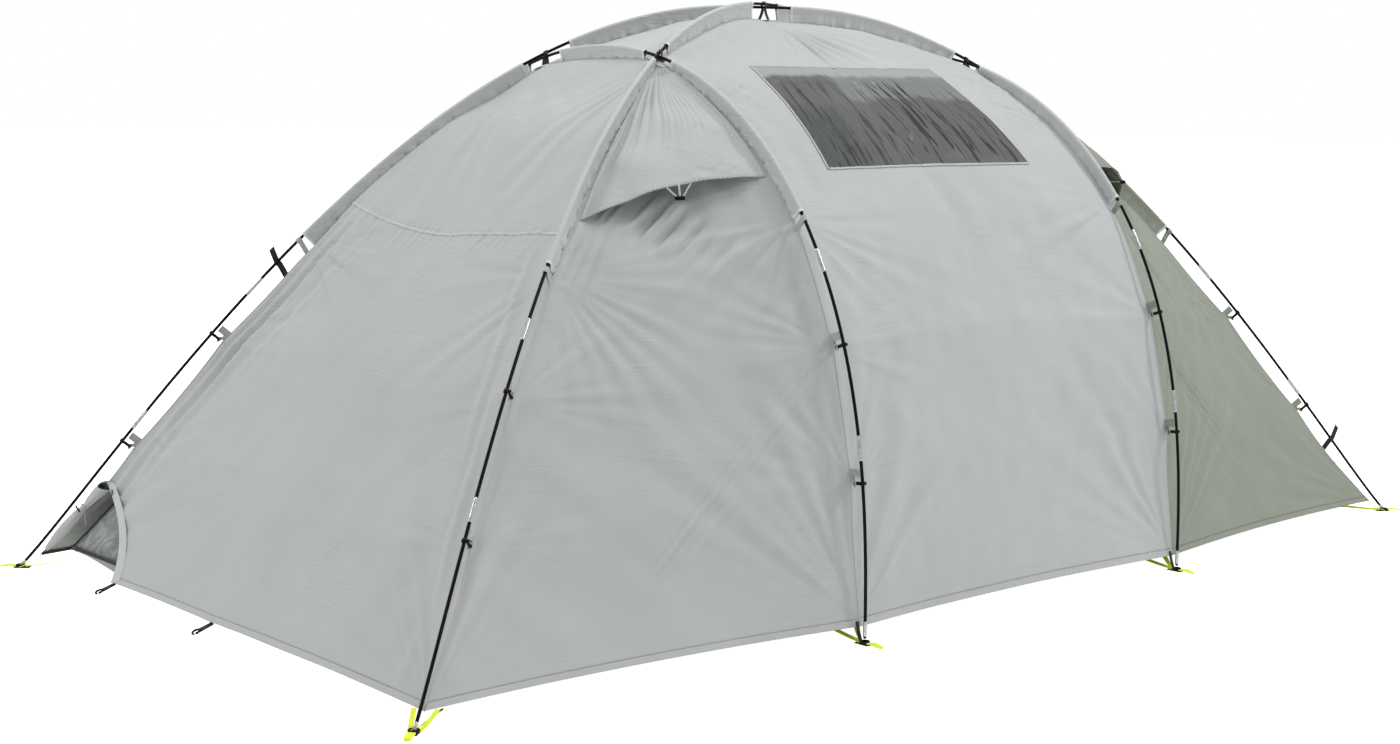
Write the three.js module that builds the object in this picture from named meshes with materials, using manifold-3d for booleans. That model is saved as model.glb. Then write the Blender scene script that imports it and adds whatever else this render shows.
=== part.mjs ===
// Dome tent: a four-pole geodesic shelter, pitched. Millimetres, +Z up.
// The origin is on the ground at the middle of the tent. +X runs along the length, and the door
// with the open corner is at the -X end. The four quarters mirror each other apart from that door.

import * as THREE from 'three';
import { mergeVertices } from 'three/addons/utils/BufferGeometryUtils.js';
import Module from 'manifold-3d';

const wasm = await Module();
wasm.setup();

// ---------- Driving dimensions ----------

const LENGTH = 4300; // between the corner feet, along X
const END_WIDTH = 2235; // between the corner feet, along Y
const HOOP_WIDTH = 2450; // between the feet of a side-to-side pole
const HOOP_X = 720; // the hoop feet stand this far from the middle
const HOOP_CROWN_X = 692; // and the hoop tops lean in to here
const APEX_HEIGHT = 1807; // middle of the upper long pole at the top
const HOOP_HEIGHT = 1655; // middle of a hoop at its top

const POLE_RADIUS = 4.75;
const POLE_SIDES = 8;
const POLE_STEPS = 44;
const POLE_END_HEIGHT = 6; // the pole tip stands this high in its eyelet
const CROSSING_STEP = 10.5; // poles pass each other with this between their middles

const STANDOFF = 48; // from the middle of a pole to the fabric's seam
const FOOT_STANDOFF = 15; // the same, at the ground
const STANDOFF_RISE = 400; // height over which it grows

const FABRIC = 1.5; // thickness of every fabric solid
const SEAM_MARGIN = 7; // a panel stops this far from its seam line
const HEM_HEIGHT = { diagonal: 38, hoop: 46 }; // lowest point of a seam, above the ground
const HEM_INSET = 12; // a hem pulls in this far between two feet
const PANEL_CELLS = 9;
const MIDDLE_CELLS = 12;
const ROOF_CELLS = 5;

const SLEEVE_END = { diagonal: 1380, hoop: 1230 }; // along the pole from the foot
const SLEEVE_GAP = { crossing: 85, apex: 95 }; // half of each opening in a sleeve
const SLEEVE_CLEARANCE = 1.5; // from the pole to the strip under it
// The strip under a pole starts this far up it, and is a low seam tape where there is no sleeve. It
// steps between tape and sleeve within `step` to each side, and reaches `lap` past the seam line.
const STRIP = { start: 30, tape: 10, lap: 3, step: 1.5, cells: 14 };
const HOOK_ARC = { diagonal: [512, 955], hoop: [436, 826] }; // hooks, along the pole from the foot
const HOOK_CLEARANCE = 0.5;
const HOOK_WALL = 2.8;
const HOOK_REACH = 31; // from the middle of the pole to the hook's webbing bar
const HOOK_TAB_GAP = 2; // between that bar and the strip
const HOOK_WIDTH = 14;
const TAB_WIDTH = 22; // webbing tab that carries a hook

const PULL_TAB_REACH = 68; // anchor webbing outside the foot
const STRAP_REACH = 165; // anchor webbing inside the foot
const WEBBING_WIDTH = 26;
const WEBBING = 2;
const EYELET_HEIGHT = 11;
const EYELET_RADIUS = 15;
const EYELET_BORE = 11;

// The window: half of its width at the bottom and top, and the heights of those edges.
const WINDOW = { bottomHalf: 455, topHalf: 405, bottom: 1300, top: 1598 };
const WINDOW_GAP = 2; // between the film and the panel's cut edge
const HOOD = { bottom: 0.665, top: 0.955, left: 0.04, right: 0.965 }; // shares of a side panel
const HOOD_BASE = 6; // the sewn edges of a hood lie this far off the panel
const HOOD_LIFT = 75; // its hem stands this much farther off
const HOOD_CURVE = 1.3;
const PROP = { heel: 0.7, across: 0.52, drop: 34, width: 22, thick: 3, barrel: 3.5, stand: 9 };
const PROP_PAD = { width: 28, length: 18, thick: 11 };
const TOP_FADE = 2.4; // how fast a panel forgets its top edge's curve, lower down

const DOOR = { hem: 0.775, height: 290 }; // open corner: share of the end hem, and height
const ROLL = { foot: 60, top: 262, thin: 7, neck: 11, neckAt: 0.6, wide: 20, mouth: 16, deep: 40 };
const TOGGLE = { radius: 3.2, length: 26 };
const SLIDER = { width: 9, length: 16, thick: 6, pull: 26, start: 62, clear: 2 };
const PEG_LOOP = { reach: 48, drop: 24, width: 14, thick: 2, ring: 13, places: [600, 0] };
const FLOOR = { endX: 1960, endY: 930, hoopX: 700, hoopY: 1035, wall: 60, thick: 2.5 };
const INNER = { inset: 80, cornerInset: 100, top: 1500, crown: 90, crownShare: 0.1 };
const INNER_DOOR = { half: 1, rows: 4 }; // the open column beside the door's middle
const INNER_ROWS = 7;
const INNER_COLUMNS = 18;

// ---------- Materials ----------

const material = (color, roughness, metalness = 0) =>
  new THREE.MeshStandardMaterial({ color, roughness, metalness });

const MATERIALS = {
  pole: material(0x151517, 0.35, 0.1),
  fly: material(0xb9bcba, 0.75),
  flySage: material(0x9aa295, 0.75),
  sleeve: material(0xc4c7c5, 0.75),
  film: material(0x5d6062, 0.2),
  hook: material(0x111112, 0.5),
  webbing: material(0x1b1b1c, 0.85),
  strap: material(0xd9ef2e, 0.7),
  mesh: material(0x8d8f90, 0.9),
  floor: material(0x6f7274, 0.8),
};

// ---------- Small tools ----------

const vec = (x, y, z) => new THREE.Vector3(x, y, z);
const mix = (a, b, share) => a.clone().lerp(b, share);
const range = (count) => Array.from({ length: count }, (_, index) => index);
const limit = (share) => Math.min(1, Math.max(0, share));
const UP = vec(0, 0, 1);

class FormulaCurve extends THREE.Curve {
  constructor(formula) {
    super();
    this.formula = formula;
    this.arcLengthDivisions = 400;
  }

  getPoint(share, target = new THREE.Vector3()) {
    return target.copy(this.formula(share));
  }
}

const group = new THREE.Group();

const add = (name, geometry, look) => {
  const mesh = new THREE.Mesh(geometry, look);
  mesh.name = name;
  group.add(mesh);
  return mesh;
};

const signedVolume = (positions, triangles) => {
  let volume = 0;
  for (const [a, b, c] of triangles) {
    volume += positions[a].dot(positions[b].clone().cross(positions[c])) / 6;
  }
  return volume;
};

const solidFrom = (positions, triangles) => {
  const outward = signedVolume(positions, triangles) > 0;
  const geometry = new THREE.BufferGeometry().setFromPoints(positions);
  geometry.setIndex(triangles.flatMap(([a, b, c]) => (outward ? [a, b, c] : [a, c, b])));
  return geometry;
};

// A closed shell over the kept cells of a grid. surface(u, v) gives its middle skin.
const shell = (surface, us, vs, keep = () => true, thickness = FABRIC) => {
  const delta = 1e-3;
  const positions = [];
  const index = new Map();
  const corner = (i, j, side) => {
    const key = `${i},${j},${side}`;
    if (!index.has(key)) {
      const u = us[i];
      const v = vs[j];
      const du = surface(u + delta, v).sub(surface(u - delta, v));
      const dv = surface(u, v + delta).sub(surface(u, v - delta));
      const normal = du.cross(dv).normalize();
      index.set(key, positions.length);
      positions.push(surface(u, v).addScaledVector(normal, (side * thickness) / 2));
    }
    return index.get(key);
  };
  const kept = (i, j) =>
    i >= 0 && j >= 0 && i < us.length - 1 && j < vs.length - 1 && keep(i, j);
  const triangles = [];
  const quad = (a, b, c, d) => triangles.push([a, b, c], [a, c, d]);
  // The lower skin is split along the same diagonal as the upper one, so the two never cross.
  const quadBelow = (a, b, c, d) => triangles.push([a, c, b], [a, d, c]);
  for (let i = 0; i < us.length - 1; i += 1) {
    for (let j = 0; j < vs.length - 1; j += 1) {
      if (!kept(i, j)) continue;
      const ring = [[i, j], [i + 1, j], [i + 1, j + 1], [i, j + 1]];
      const top = ring.map(([a, b]) => corner(a, b, 1));
      const bottom = ring.map(([a, b]) => corner(a, b, -1));
      quad(...top);
      quadBelow(...bottom);
      const neighbours = [[i, j - 1], [i + 1, j], [i, j + 1], [i - 1, j]];
      neighbours.forEach(([a, b], side) => {
        if (kept(a, b)) return;
        const next = (side + 1) % 4;
        quad(bottom[side], bottom[next], top[next], top[side]);
      });
    }
  }
  return solidFrom(positions, triangles);
};

const spread = (from, to, cells) =>
  range(cells + 1).map((step) => from + ((to - from) * step) / cells);

// Grid lines from 0 to 1 that include each given stop.
const breaks = (from, to, stops, cells) => {
  const marks = [from, ...stops, to];
  const lines = marks.slice(0, -1).flatMap((start, index) => {
    const end = marks[index + 1];
    const count = Math.max(1, Math.round(((end - start) / (to - from)) * cells));
    return spread(start, end, count).slice(0, -1);
  });
  return [...lines, to];
};

const toManifold = (geometry) => {
  const bare = geometry.clone();
  bare.deleteAttribute('normal');
  bare.deleteAttribute('uv');
  const merged = mergeVertices(bare, 1e-3);
  return new wasm.Manifold(
    new wasm.Mesh({
      numProp: 3,
      vertProperties: new Float32Array(merged.attributes.position.array),
      triVerts: new Uint32Array(merged.index.array),
    }),
  );
};

const fromManifold = (solid) => {
  const mesh = solid.getMesh();
  const geometry = new THREE.BufferGeometry();
  geometry.setAttribute('position', new THREE.BufferAttribute(mesh.vertProperties, 3));
  geometry.setIndex(new THREE.BufferAttribute(mesh.triVerts, 1));
  return geometry;
};

const fuse = (first, ...others) =>
  fromManifold(others.reduce((solid, next) => solid.add(toManifold(next)), toManifold(first)));

const cut = (solid, tool) => fromManifold(toManifold(solid).subtract(toManifold(tool)));
const overlap = (solid, tool) => fromManifold(toManifold(solid).intersect(toManifold(tool)));

// ---------- Poles ----------

const DIAGONAL_SHAPE = { power: 2.165, finish: 1.111, bow: 89 };
const HOOP_SHAPE = { power: 2.072, finish: 0.392, lean: 4.8 };
const DIAGONAL_DIP = 250; // length over which the lower long pole dips under the upper one

const arch = (share, { power, finish }) =>
  Math.max(0, 1 - Math.abs(share) ** power) ** finish;

// share runs from -1 at one foot to 1 at the other. side is 1 for the pole that rises to the right
// as seen from above, and -1 for its mirror image, which passes below it.
const diagonalPoint = (share, side) => {
  const x = (LENGTH / 2) * share;
  const bow = DIAGONAL_SHAPE.bow * Math.sin(Math.PI * share);
  const dip = side > 0 ? 0 : CROSSING_STEP * Math.exp(-((x / DIAGONAL_DIP) ** 2));
  return vec(
    x,
    side * ((END_WIDTH / 2) * share - bow),
    APEX_HEIGHT * arch(share, DIAGONAL_SHAPE) - dip,
  );
};

const hoopPoint = (share, side) => {
  const height = arch(share, HOOP_SHAPE);
  return vec(
    side * (HOOP_X + (HOOP_CROWN_X - HOOP_X) * height ** HOOP_SHAPE.lean),
    (HOOP_WIDTH / 2) * share,
    HOOP_HEIGHT * height,
  );
};

// Each pole: its formula, and the level direction across its own plane.
const makePole = (name, kind, side) => {
  const diagonal = kind === 'diagonal';
  const point = (share) => (diagonal ? diagonalPoint(share, side) : hoopPoint(share, side));
  const chord = diagonal ? vec(LENGTH, side * END_WIDTH, 0).normalize() : vec(0, 1, 0);
  const across = UP.clone().cross(chord);
  const last = 0.999; // the formula is too steep for a tangent beyond this
  const tangent = (share) => {
    const at = Math.min(last, Math.max(-last, share));
    return point(at + 1e-4).sub(point(at - 1e-4)).normalize();
  };
  const inward = (share) => tangent(share).cross(across).normalize().negate();
  return { name, kind, side, point, across, tangent, inward };
};

const POLES = {
  diagonal_1: makePole('diagonal_1', 'diagonal', 1),
  diagonal_2: makePole('diagonal_2', 'diagonal', -1),
  hoop_left: makePole('hoop_left', 'hoop', -1),
  hoop_right: makePole('hoop_right', 'hoop', 1),
};

const solve = (wanted, value, low, high) => {
  let [from, to] = [low, high];
  for (const _ of range(50)) {
    const middle = (from + to) / 2;
    if (value(middle) > wanted) from = middle;
    else to = middle;
  }
  return (from + to) / 2;
};

const standoff = (height) => {
  const rise = Math.min(1, Math.max(0, height) / STANDOFF_RISE);
  return FOOT_STANDOFF + (STANDOFF - FOOT_STANDOFF) * Math.sin((Math.PI / 2) * rise);
};

// A point beside the pole, in its plane, at a distance towards the tent.
const besidePole = (pole, share, distance, sideways = 0) =>
  pole
    .point(share)
    .addScaledVector(pole.inward(share), distance)
    .addScaledVector(pole.across, sideways);

const seamPoint = (pole, share) =>
  besidePole(pole, share, standoff(pole.point(share).z));

for (const pole of Object.values(POLES)) {
  const end = solve(POLE_END_HEIGHT, (share) => pole.point(share).z, 0.5, 1);
  const curve = new FormulaCurve((share) => pole.point(end * (2 * share - 1)));
  const section = new THREE.Shape(
    range(POLE_SIDES).map((index) => {
      const angle = (2 * Math.PI * index) / POLE_SIDES;
      return new THREE.Vector2(POLE_RADIUS * Math.cos(angle), POLE_RADIUS * Math.sin(angle));
    }),
  );
  const tube = new THREE.ExtrudeGeometry(section, { steps: POLE_STEPS, extrudePath: curve });
  add(`pole_${pole.name}`, tube, MATERIALS.pole);
  // Shares along the pole against length from the foot.
  pole.end = end;
  const lengths = curve.getLengths(400);
  const total = lengths[lengths.length - 1];
  pole.shareAtArc = (arc) => end * (1 - 2 * curve.getUtoTmapping(0, arc));
  pole.total = total;
}

// ---------- Sleeve strips ----------

const CROSS_SHARE = HOOP_CROWN_X / (LENGTH / 2);
const CROSS_Y = Math.abs(diagonalPoint(CROSS_SHARE, 1).y);
const HOOP_CROSS_SHARE = CROSS_Y / (HOOP_WIDTH / 2);
const TAPE_SHIFT = { diagonal: 0, hoop: 4 }; // keeps the tapes apart where they cross

// Where the strip is tall, as lengths along the pole: at each hook's webbing tab, and along each
// sleeve up to the middle of the pole.

const stripZones = (pole) => {
  const half = pole.total / 2;
  const crossing = pole.kind === 'diagonal' ? CROSS_SHARE : HOOP_CROSS_SHARE;
  const crossArc = solve(crossing, pole.shareAtArc, 0, half);
  const gap = SLEEVE_GAP.crossing;
  const hooks = HOOK_ARC[pole.kind].map((arc) => [arc - TAB_WIDTH / 2, arc + TAB_WIDTH / 2]);
  const low = [SLEEVE_END[pole.kind], crossArc - gap];
  const high = [crossArc + gap, pole.kind === 'diagonal' ? half - SLEEVE_GAP.apex : half];
  return { hooks, sleeves: [low, high] };
};

const addStrip = (pole) => {
  const { hooks, sleeves } = stripZones(pole);
  const half = pole.total / 2;
  const marks = [...hooks, ...sleeves].flat().filter((mark) => mark < half);
  marks.sort((a, b) => a - b);
  const stops = marks.flatMap((mark) => [mark - STRIP.step, mark + STRIP.step]);
  const firstHalf = breaks(STRIP.start, half, stops, STRIP.cells);
  const secondHalf = firstHalf.slice(0, -1).reverse().map((arc) => pole.total - arc);
  // How far from the pole the strip's outer edge is, where a sleeve or a hook sets it.
  const outer = (arc) => {
    const at = Math.min(arc, pole.total - arc);
    const inside = ([from, to]) => at > from && (at < to || to >= half);
    if (sleeves.some(inside)) return POLE_RADIUS + SLEEVE_CLEARANCE;
    return hooks.some(inside) ? HOOK_REACH + HOOK_TAB_GAP : Infinity;
  };
  const surface = (u, v) => {
    const arc = u * pole.total;
    const share = pole.shareAtArc(arc);
    const base = standoff(pole.point(share).z) + TAPE_SHIFT[pole.kind] + STRIP.lap;
    const top = Math.min(outer(arc), base - STRIP.tape + 2);
    return besidePole(pole, share, top + (base - top) * v);
  };
  const arcs = [...firstHalf, ...secondHalf];
  const us = arcs.map((arc) => arc / pole.total);
  add(`sleeve_${pole.name}`, shell(surface, us, [0, 1]), MATERIALS.sleeve);
};

Object.values(POLES).forEach(addStrip);

// ---------- Fly panels ----------

// One leg's seam as a curve from its hem (0) to its crossing (1). The leg is named by its foot's
// quarter: sx and sy are the signs of the foot's place.
const legPole = (kind, sx, sy) => {
  if (kind === 'hoop') return POLES[sx < 0 ? 'hoop_left' : 'hoop_right'];
  return POLES[sx === sy ? 'diagonal_1' : 'diagonal_2'];
};

const legSign = (kind, sx, sy) => (kind === 'diagonal' ? sx : sy);

const seamCrossing = (kind, sx, sy) => {
  const pole = legPole(kind, sx, sy);
  const sign = legSign(kind, sx, sy);
  const axis = kind === 'diagonal' ? 'x' : 'y';
  const wanted = kind === 'diagonal' ? HOOP_CROWN_X : CROSS_Y;
  const away = (share) => -Math.abs(seamPoint(pole, sign * share)[axis]);
  return sign * solve(-wanted, away, 0.05, 0.6);
};

const legSeam = (kind, sx, sy) => {
  const pole = legPole(kind, sx, sy);
  const sign = legSign(kind, sx, sy);
  const low = sign * solve(HEM_HEIGHT[kind], (share) => seamPoint(pole, sign * share).z, 0.5, 1);
  const high = seamCrossing(kind, sx, sy);
  return new FormulaCurve((step) => seamPoint(pole, low + (high - low) * step));
};

const roofSeam = (sx, sy) => {
  const pole = legPole('diagonal', sx, sy);
  const start = seamCrossing('diagonal', sx, sy);
  return new FormulaCurve((step) => seamPoint(pole, start * (1 - step)));
};

const crownSeam = (sx, sy) => {
  const pole = legPole('hoop', sx, sy);
  const start = seamCrossing('hoop', sx, sy);
  return new FormulaCurve((step) => seamPoint(pole, start * (1 - 2 * step)));
};

const hemCurve = (from, to, inset) =>
  new FormulaCurve((step) => mix(from, to, step).addScaledVector(inset, 4 * step * (1 - step)));

// Two curves end to end, as one.
const joined = (first, second, firstPart = 0.5) =>
  new FormulaCurve((step) =>
    step < firstPart
      ? first.getPointAt(step / firstPart)
      : second.getPointAt((step - firstPart) / (1 - firstPart)),
  );

const reversed = (curve) => new FormulaCurve((step) => curve.getPointAt(1 - step));
const pointCurve = (point) => new FormulaCurve(() => point.clone());

// The smooth surface inside four edges: bottom and top run in u, left and right in v. It keeps off
// the left, right and top edges.
const patch = (bottom, top, left, right, topMargin = SEAM_MARGIN) => {
  const at = (curve, share) => {
    const whole = curve.getLength() > 1;
    return whole ? curve.getPointAt(limit(share)) : curve.getPoint(0);
  };
  const corners = [at(bottom, 0), at(bottom, 1), at(top, 0), at(top, 1)];
  const height = left.getLength();
  return (uIn, vIn) => {
    const v = vIn * (1 - topMargin / height);
    const width = at(left, v).distanceTo(at(right, v));
    const margin = SEAM_MARGIN / width;
    const u = margin + (1 - 2 * margin) * uIn;
    const low = at(bottom, u).sub(mix(corners[0], corners[1], u));
    const high = at(top, u).sub(mix(corners[2], corners[3], u));
    const across = mix(at(left, v), at(right, v), u);
    return across.addScaledVector(low, 1 - v).addScaledVector(high, limit(v) ** TOP_FADE);
  };
};

const TIP = 60; // a three-sided panel stops this far short of its point

const panelShell = (surface, cells = PANEL_CELLS, keep = undefined) =>
  shell(surface, spread(0, 1, cells), spread(0, 1, cells), keep);

const sideName = (sy) => (sy < 0 ? 'near' : 'far');
const endName = (sx) => (sx < 0 ? 'left' : 'right');

const sideSurface = (sx, sy) => {
  const corner = legSeam('diagonal', sx, sy);
  const hoop = legSeam('hoop', sx, sy);
  const hem = hemCurve(corner.getPoint(0), hoop.getPoint(0), vec(0, -sy * HEM_INSET, 0));
  const tip = mix(corner.getPoint(1), hoop.getPoint(1), 0.5);
  return patch(hem, pointCurve(tip), corner, hoop, TIP);
};

const middleSurface = (sy) => {
  const left = legSeam('hoop', -1, sy);
  const right = legSeam('hoop', 1, sy);
  const hem = hemCurve(left.getPoint(0), right.getPoint(0), vec(0, -sy * HEM_INSET, 0));
  const top = joined(roofSeam(-1, sy), reversed(roofSeam(1, sy)));
  return patch(hem, top, left, right);
};

const roofSurface = (sx) => {
  const near = roofSeam(sx, -1);
  const far = roofSeam(sx, 1);
  const tip = mix(near.getPoint(1), far.getPoint(1), 0.5);
  return patch(crownSeam(sx, -1), pointCurve(tip), near, far, TIP + SEAM_MARGIN);
};

const endHem = (sx) => {
  const near = legSeam('diagonal', sx, -1).getPoint(0);
  const far = legSeam('diagonal', sx, 1).getPoint(0);
  return hemCurve(near, far, vec(-sx * HEM_INSET, 0, 0));
};

const endSurface = (sx) =>
  patch(endHem(sx), crownSeam(sx, -1), legSeam('diagonal', sx, -1), legSeam('diagonal', sx, 1));

// The left end is cut short at its far bottom corner, where its zip is open.
const doorSeam = legSeam('diagonal', -1, 1);
const doorHemEnd = endHem(-1).getPoint(DOOR.hem);
const doorTopShare = solve(-DOOR.height, (step) => -doorSeam.getPointAt(step).z, 0, 1);
const doorTop = doorSeam.getPointAt(doorTopShare);
const doorEdge = new THREE.LineCurve3(doorHemEnd, doorTop);
const doorSurface = () => {
  const hem = new FormulaCurve((step) => endHem(-1).getPoint(step * DOOR.hem));
  const above = new FormulaCurve((step) =>
    doorSeam.getPointAt(doorTopShare + (1 - doorTopShare) * step),
  );
  const right = joined(doorEdge, above, doorEdge.getLength() / doorSeam.getLength());
  return patch(hem, crownSeam(-1, -1), legSeam('diagonal', -1, -1), right);
};

// The window's outline, seen along Y, as a prism through one side of the tent.
const windowPrism = (gap) => {
  const outline = new THREE.Shape([
    new THREE.Vector2(-WINDOW.bottomHalf + gap, WINDOW.bottom + gap),
    new THREE.Vector2(WINDOW.bottomHalf - gap, WINDOW.bottom + gap),
    new THREE.Vector2(WINDOW.topHalf - gap, WINDOW.top - gap),
    new THREE.Vector2(-WINDOW.topHalf + gap, WINDOW.top - gap),
  ]);
  const prism = new THREE.ExtrudeGeometry(outline, { depth: HOOP_WIDTH, bevelEnabled: false });
  return prism.rotateX(Math.PI / 2).translate(0, HOOP_WIDTH / 2, 0);
};

const addFly = () => {
  for (const sy of [-1, 1]) {
    const side = sideName(sy);
    for (const sx of [-1, 1]) {
      const sage = sx > 0 && sy < 0;
      const surface = sideSurface(sx, sy);
      const look = sage ? MATERIALS.flySage : MATERIALS.fly;
      add(`fly_${side}_${endName(sx)}`, panelShell(surface), look);
    }
    const middle = panelShell(middleSurface(sy), MIDDLE_CELLS);
    const pane = panelShell(middleSurface(sy), MIDDLE_CELLS, (i, j) => j >= MIDDLE_CELLS / 2);
    add(`fly_${side}_middle`, cut(middle, windowPrism(0)), MATERIALS.fly);
    add(`window_${side}`, overlap(pane, windowPrism(WINDOW_GAP)), MATERIALS.film);
  }
  add('fly_end_left', panelShell(doorSurface()), MATERIALS.fly);
  add('fly_end_right', panelShell(endSurface(1)), MATERIALS.fly);
  add('fly_roof_left', panelShell(roofSurface(-1), ROOF_CELLS), MATERIALS.fly);
  add('fly_roof_right', panelShell(roofSurface(1), ROOF_CELLS), MATERIALS.fly);
};

addFly();

// ---------- Vent hoods and their props ----------

const outwardNormal = (surface, u, v) => {
  const delta = 1e-3;
  const du = surface(u + delta, v).sub(surface(u - delta, v));
  const dv = surface(u, v + delta).sub(surface(u, v - delta));
  const normal = du.cross(dv).normalize();
  const point = surface(u, v);
  return normal.dot(vec(point.x, point.y, 0)) < 0 ? normal.negate() : normal;
};

const addVent = (sx, sy) => {
  const name = `${sideName(sy)}_${endName(sx)}`;
  const panel = sideSurface(sx, sy);
  const hood = (u, w) => {
    const v = HOOD.bottom + (HOOD.top - HOOD.bottom) * w;
    const open = Math.sin(Math.PI * limit(u)) * (1 - limit(w)) ** HOOD_CURVE;
    const lift = HOOD_BASE + HOOD_LIFT * open;
    const across = HOOD.left + (HOOD.right - HOOD.left) * u;
    return panel(across, v).addScaledVector(outwardNormal(panel, across, v), lift);
  };
  const look = sx > 0 && sy < 0 ? MATERIALS.flySage : MATERIALS.fly;
  add(`vent_hood_${name}`, shell(hood, spread(0, 1, 8), spread(0, 1, 5)), look);

  // The prop is a flat strut from the panel out to a pad under the hood's hem, hinged at the panel.
  const normal = outwardNormal(panel, PROP.across, PROP.heel);
  const heel = panel(PROP.across, PROP.heel).addScaledVector(normal, PROP.stand);
  const share = (PROP.across - HOOD.left) / (HOOD.right - HOOD.left);
  const toe = hood(share, 0).addScaledVector(UP, -PROP.drop);
  const along = toe.clone().sub(heel);
  const length = along.length();
  const plate = new THREE.BoxGeometry(PROP.width, length, PROP.thick);
  const barrel = new THREE.CylinderGeometry(PROP.barrel, PROP.barrel, PROP.width, 10);
  barrel.rotateZ(Math.PI / 2).translate(0, -length / 2, 0);
  const pad = new THREE.BoxGeometry(PROP_PAD.width, PROP_PAD.length, PROP_PAD.thick);
  pad.translate(0, length / 2, 0);
  const prop = add(`vent_prop_${name}`, fuse(plate, barrel, pad), MATERIALS.hook);
  const yAxis = along.clone().normalize();
  const xAxis = yAxis.clone().cross(normal).normalize();
  const zAxis = xAxis.clone().cross(yAxis);
  prop.quaternion.setFromRotationMatrix(new THREE.Matrix4().makeBasis(xAxis, yAxis, zAxis));
  prop.position.copy(mix(heel, toe, 0.5));
};

for (const sx of [-1, 1]) {
  for (const sy of [-1, 1]) addVent(sx, sy);
}

// ---------- Pole hooks ----------

const FOOT_NAMES = [
  { sx: -1, sy: -1, corner: 'near_left' },
  { sx: 1, sy: -1, corner: 'near_right' },
  { sx: -1, sy: 1, corner: 'far_left' },
  { sx: 1, sy: 1, corner: 'far_right' },
];

const hookGeometry = () => {
  const inner = POLE_RADIUS + HOOK_CLEARANCE;
  const outer = inner + HOOK_WALL;
  const [from, to] = [Math.PI / 3, (5 * Math.PI) / 3];
  const shape = new THREE.Shape();
  shape.absarc(0, 0, outer, from, to, false);
  shape.lineTo(HOOK_REACH - 3, -5.5);
  shape.lineTo(HOOK_REACH - 3, -8);
  shape.lineTo(HOOK_REACH, -8);
  shape.lineTo(HOOK_REACH, 5);
  shape.lineTo(HOOK_REACH - 3, 5);
  shape.lineTo(HOOK_REACH - 3, -2.5);
  shape.absarc(0, 0, inner, to, from, true);
  const options = { depth: HOOK_WIDTH, bevelEnabled: false, curveSegments: 9 };
  return new THREE.ExtrudeGeometry(shape, options).translate(0, 0, -HOOK_WIDTH / 2);
};

const addHook = (name, pole, arc) => {
  const share = pole.shareAtArc(arc);
  const xAxis = pole.inward(share);
  const zAxis = pole.tangent(share);
  const yAxis = zAxis.clone().cross(xAxis);
  const hook = add(name, hookGeometry(), MATERIALS.hook);
  hook.quaternion.setFromRotationMatrix(new THREE.Matrix4().makeBasis(xAxis, yAxis, zAxis));
  hook.position.copy(pole.point(share));
};

for (const { sx, sy, corner } of FOOT_NAMES) {
  for (const kind of ['diagonal', 'hoop']) {
    const pole = legPole(kind, sx, sy);
    const part = kind === 'diagonal' ? 'corner' : 'side';
    const sign = legSign(kind, sx, sy);
    HOOK_ARC[kind].forEach((arc, level) => {
      const from = sign > 0 ? arc : pole.total - arc;
      addHook(`hook_${corner}_${part}_${level + 1}`, pole, from);
    });
  }
}

// ---------- Foot anchors ----------

const addAnchor = (name, foot, outward) => {
  const length = PULL_TAB_REACH + STRAP_REACH;
  const plate = new THREE.BoxGeometry(length, WEBBING_WIDTH, WEBBING);
  plate.translate((PULL_TAB_REACH - STRAP_REACH) / 2, 0, WEBBING / 2);
  const ring = [
    [EYELET_BORE, WEBBING / 2],
    [EYELET_RADIUS, WEBBING / 2],
    [EYELET_RADIUS, EYELET_HEIGHT],
    [EYELET_BORE, EYELET_HEIGHT],
    [EYELET_BORE, WEBBING / 2],
  ].map(([radius, height]) => new THREE.Vector2(radius, height));
  const eyelet = new THREE.LatheGeometry(ring, 16).rotateX(Math.PI / 2);
  const anchor = add(name, fuse(plate, eyelet), MATERIALS.strap);
  anchor.position.set(foot.x, foot.y, 0);
  anchor.rotation.z = Math.atan2(outward.y, outward.x);
};

for (const { sx, sy, corner } of FOOT_NAMES) {
  const diagonal = legPole('diagonal', sx, sy).point(sx * legPole('diagonal', sx, sy).end);
  const hoop = legPole('hoop', sx, sy).point(sy * legPole('hoop', sx, sy).end);
  addAnchor(`anchor_${corner}_corner`, diagonal, vec(0.75 * sx, 0.65 * sy, 0));
  addAnchor(`anchor_${corner}_side`, hoop, vec(0, sy, 0));
}

// ---------- Door corner ----------

// A piece whose length runs along its own Y is turned to lie from one point to another.
const layBetween = (mesh, from, to, faceDirection) => {
  const yAxis = to.clone().sub(from).normalize();
  const xAxis = yAxis.clone().cross(faceDirection).normalize();
  const zAxis = xAxis.clone().cross(yAxis);
  mesh.quaternion.setFromRotationMatrix(new THREE.Matrix4().makeBasis(xAxis, yAxis, zAxis));
  mesh.position.copy(from);
};

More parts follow.
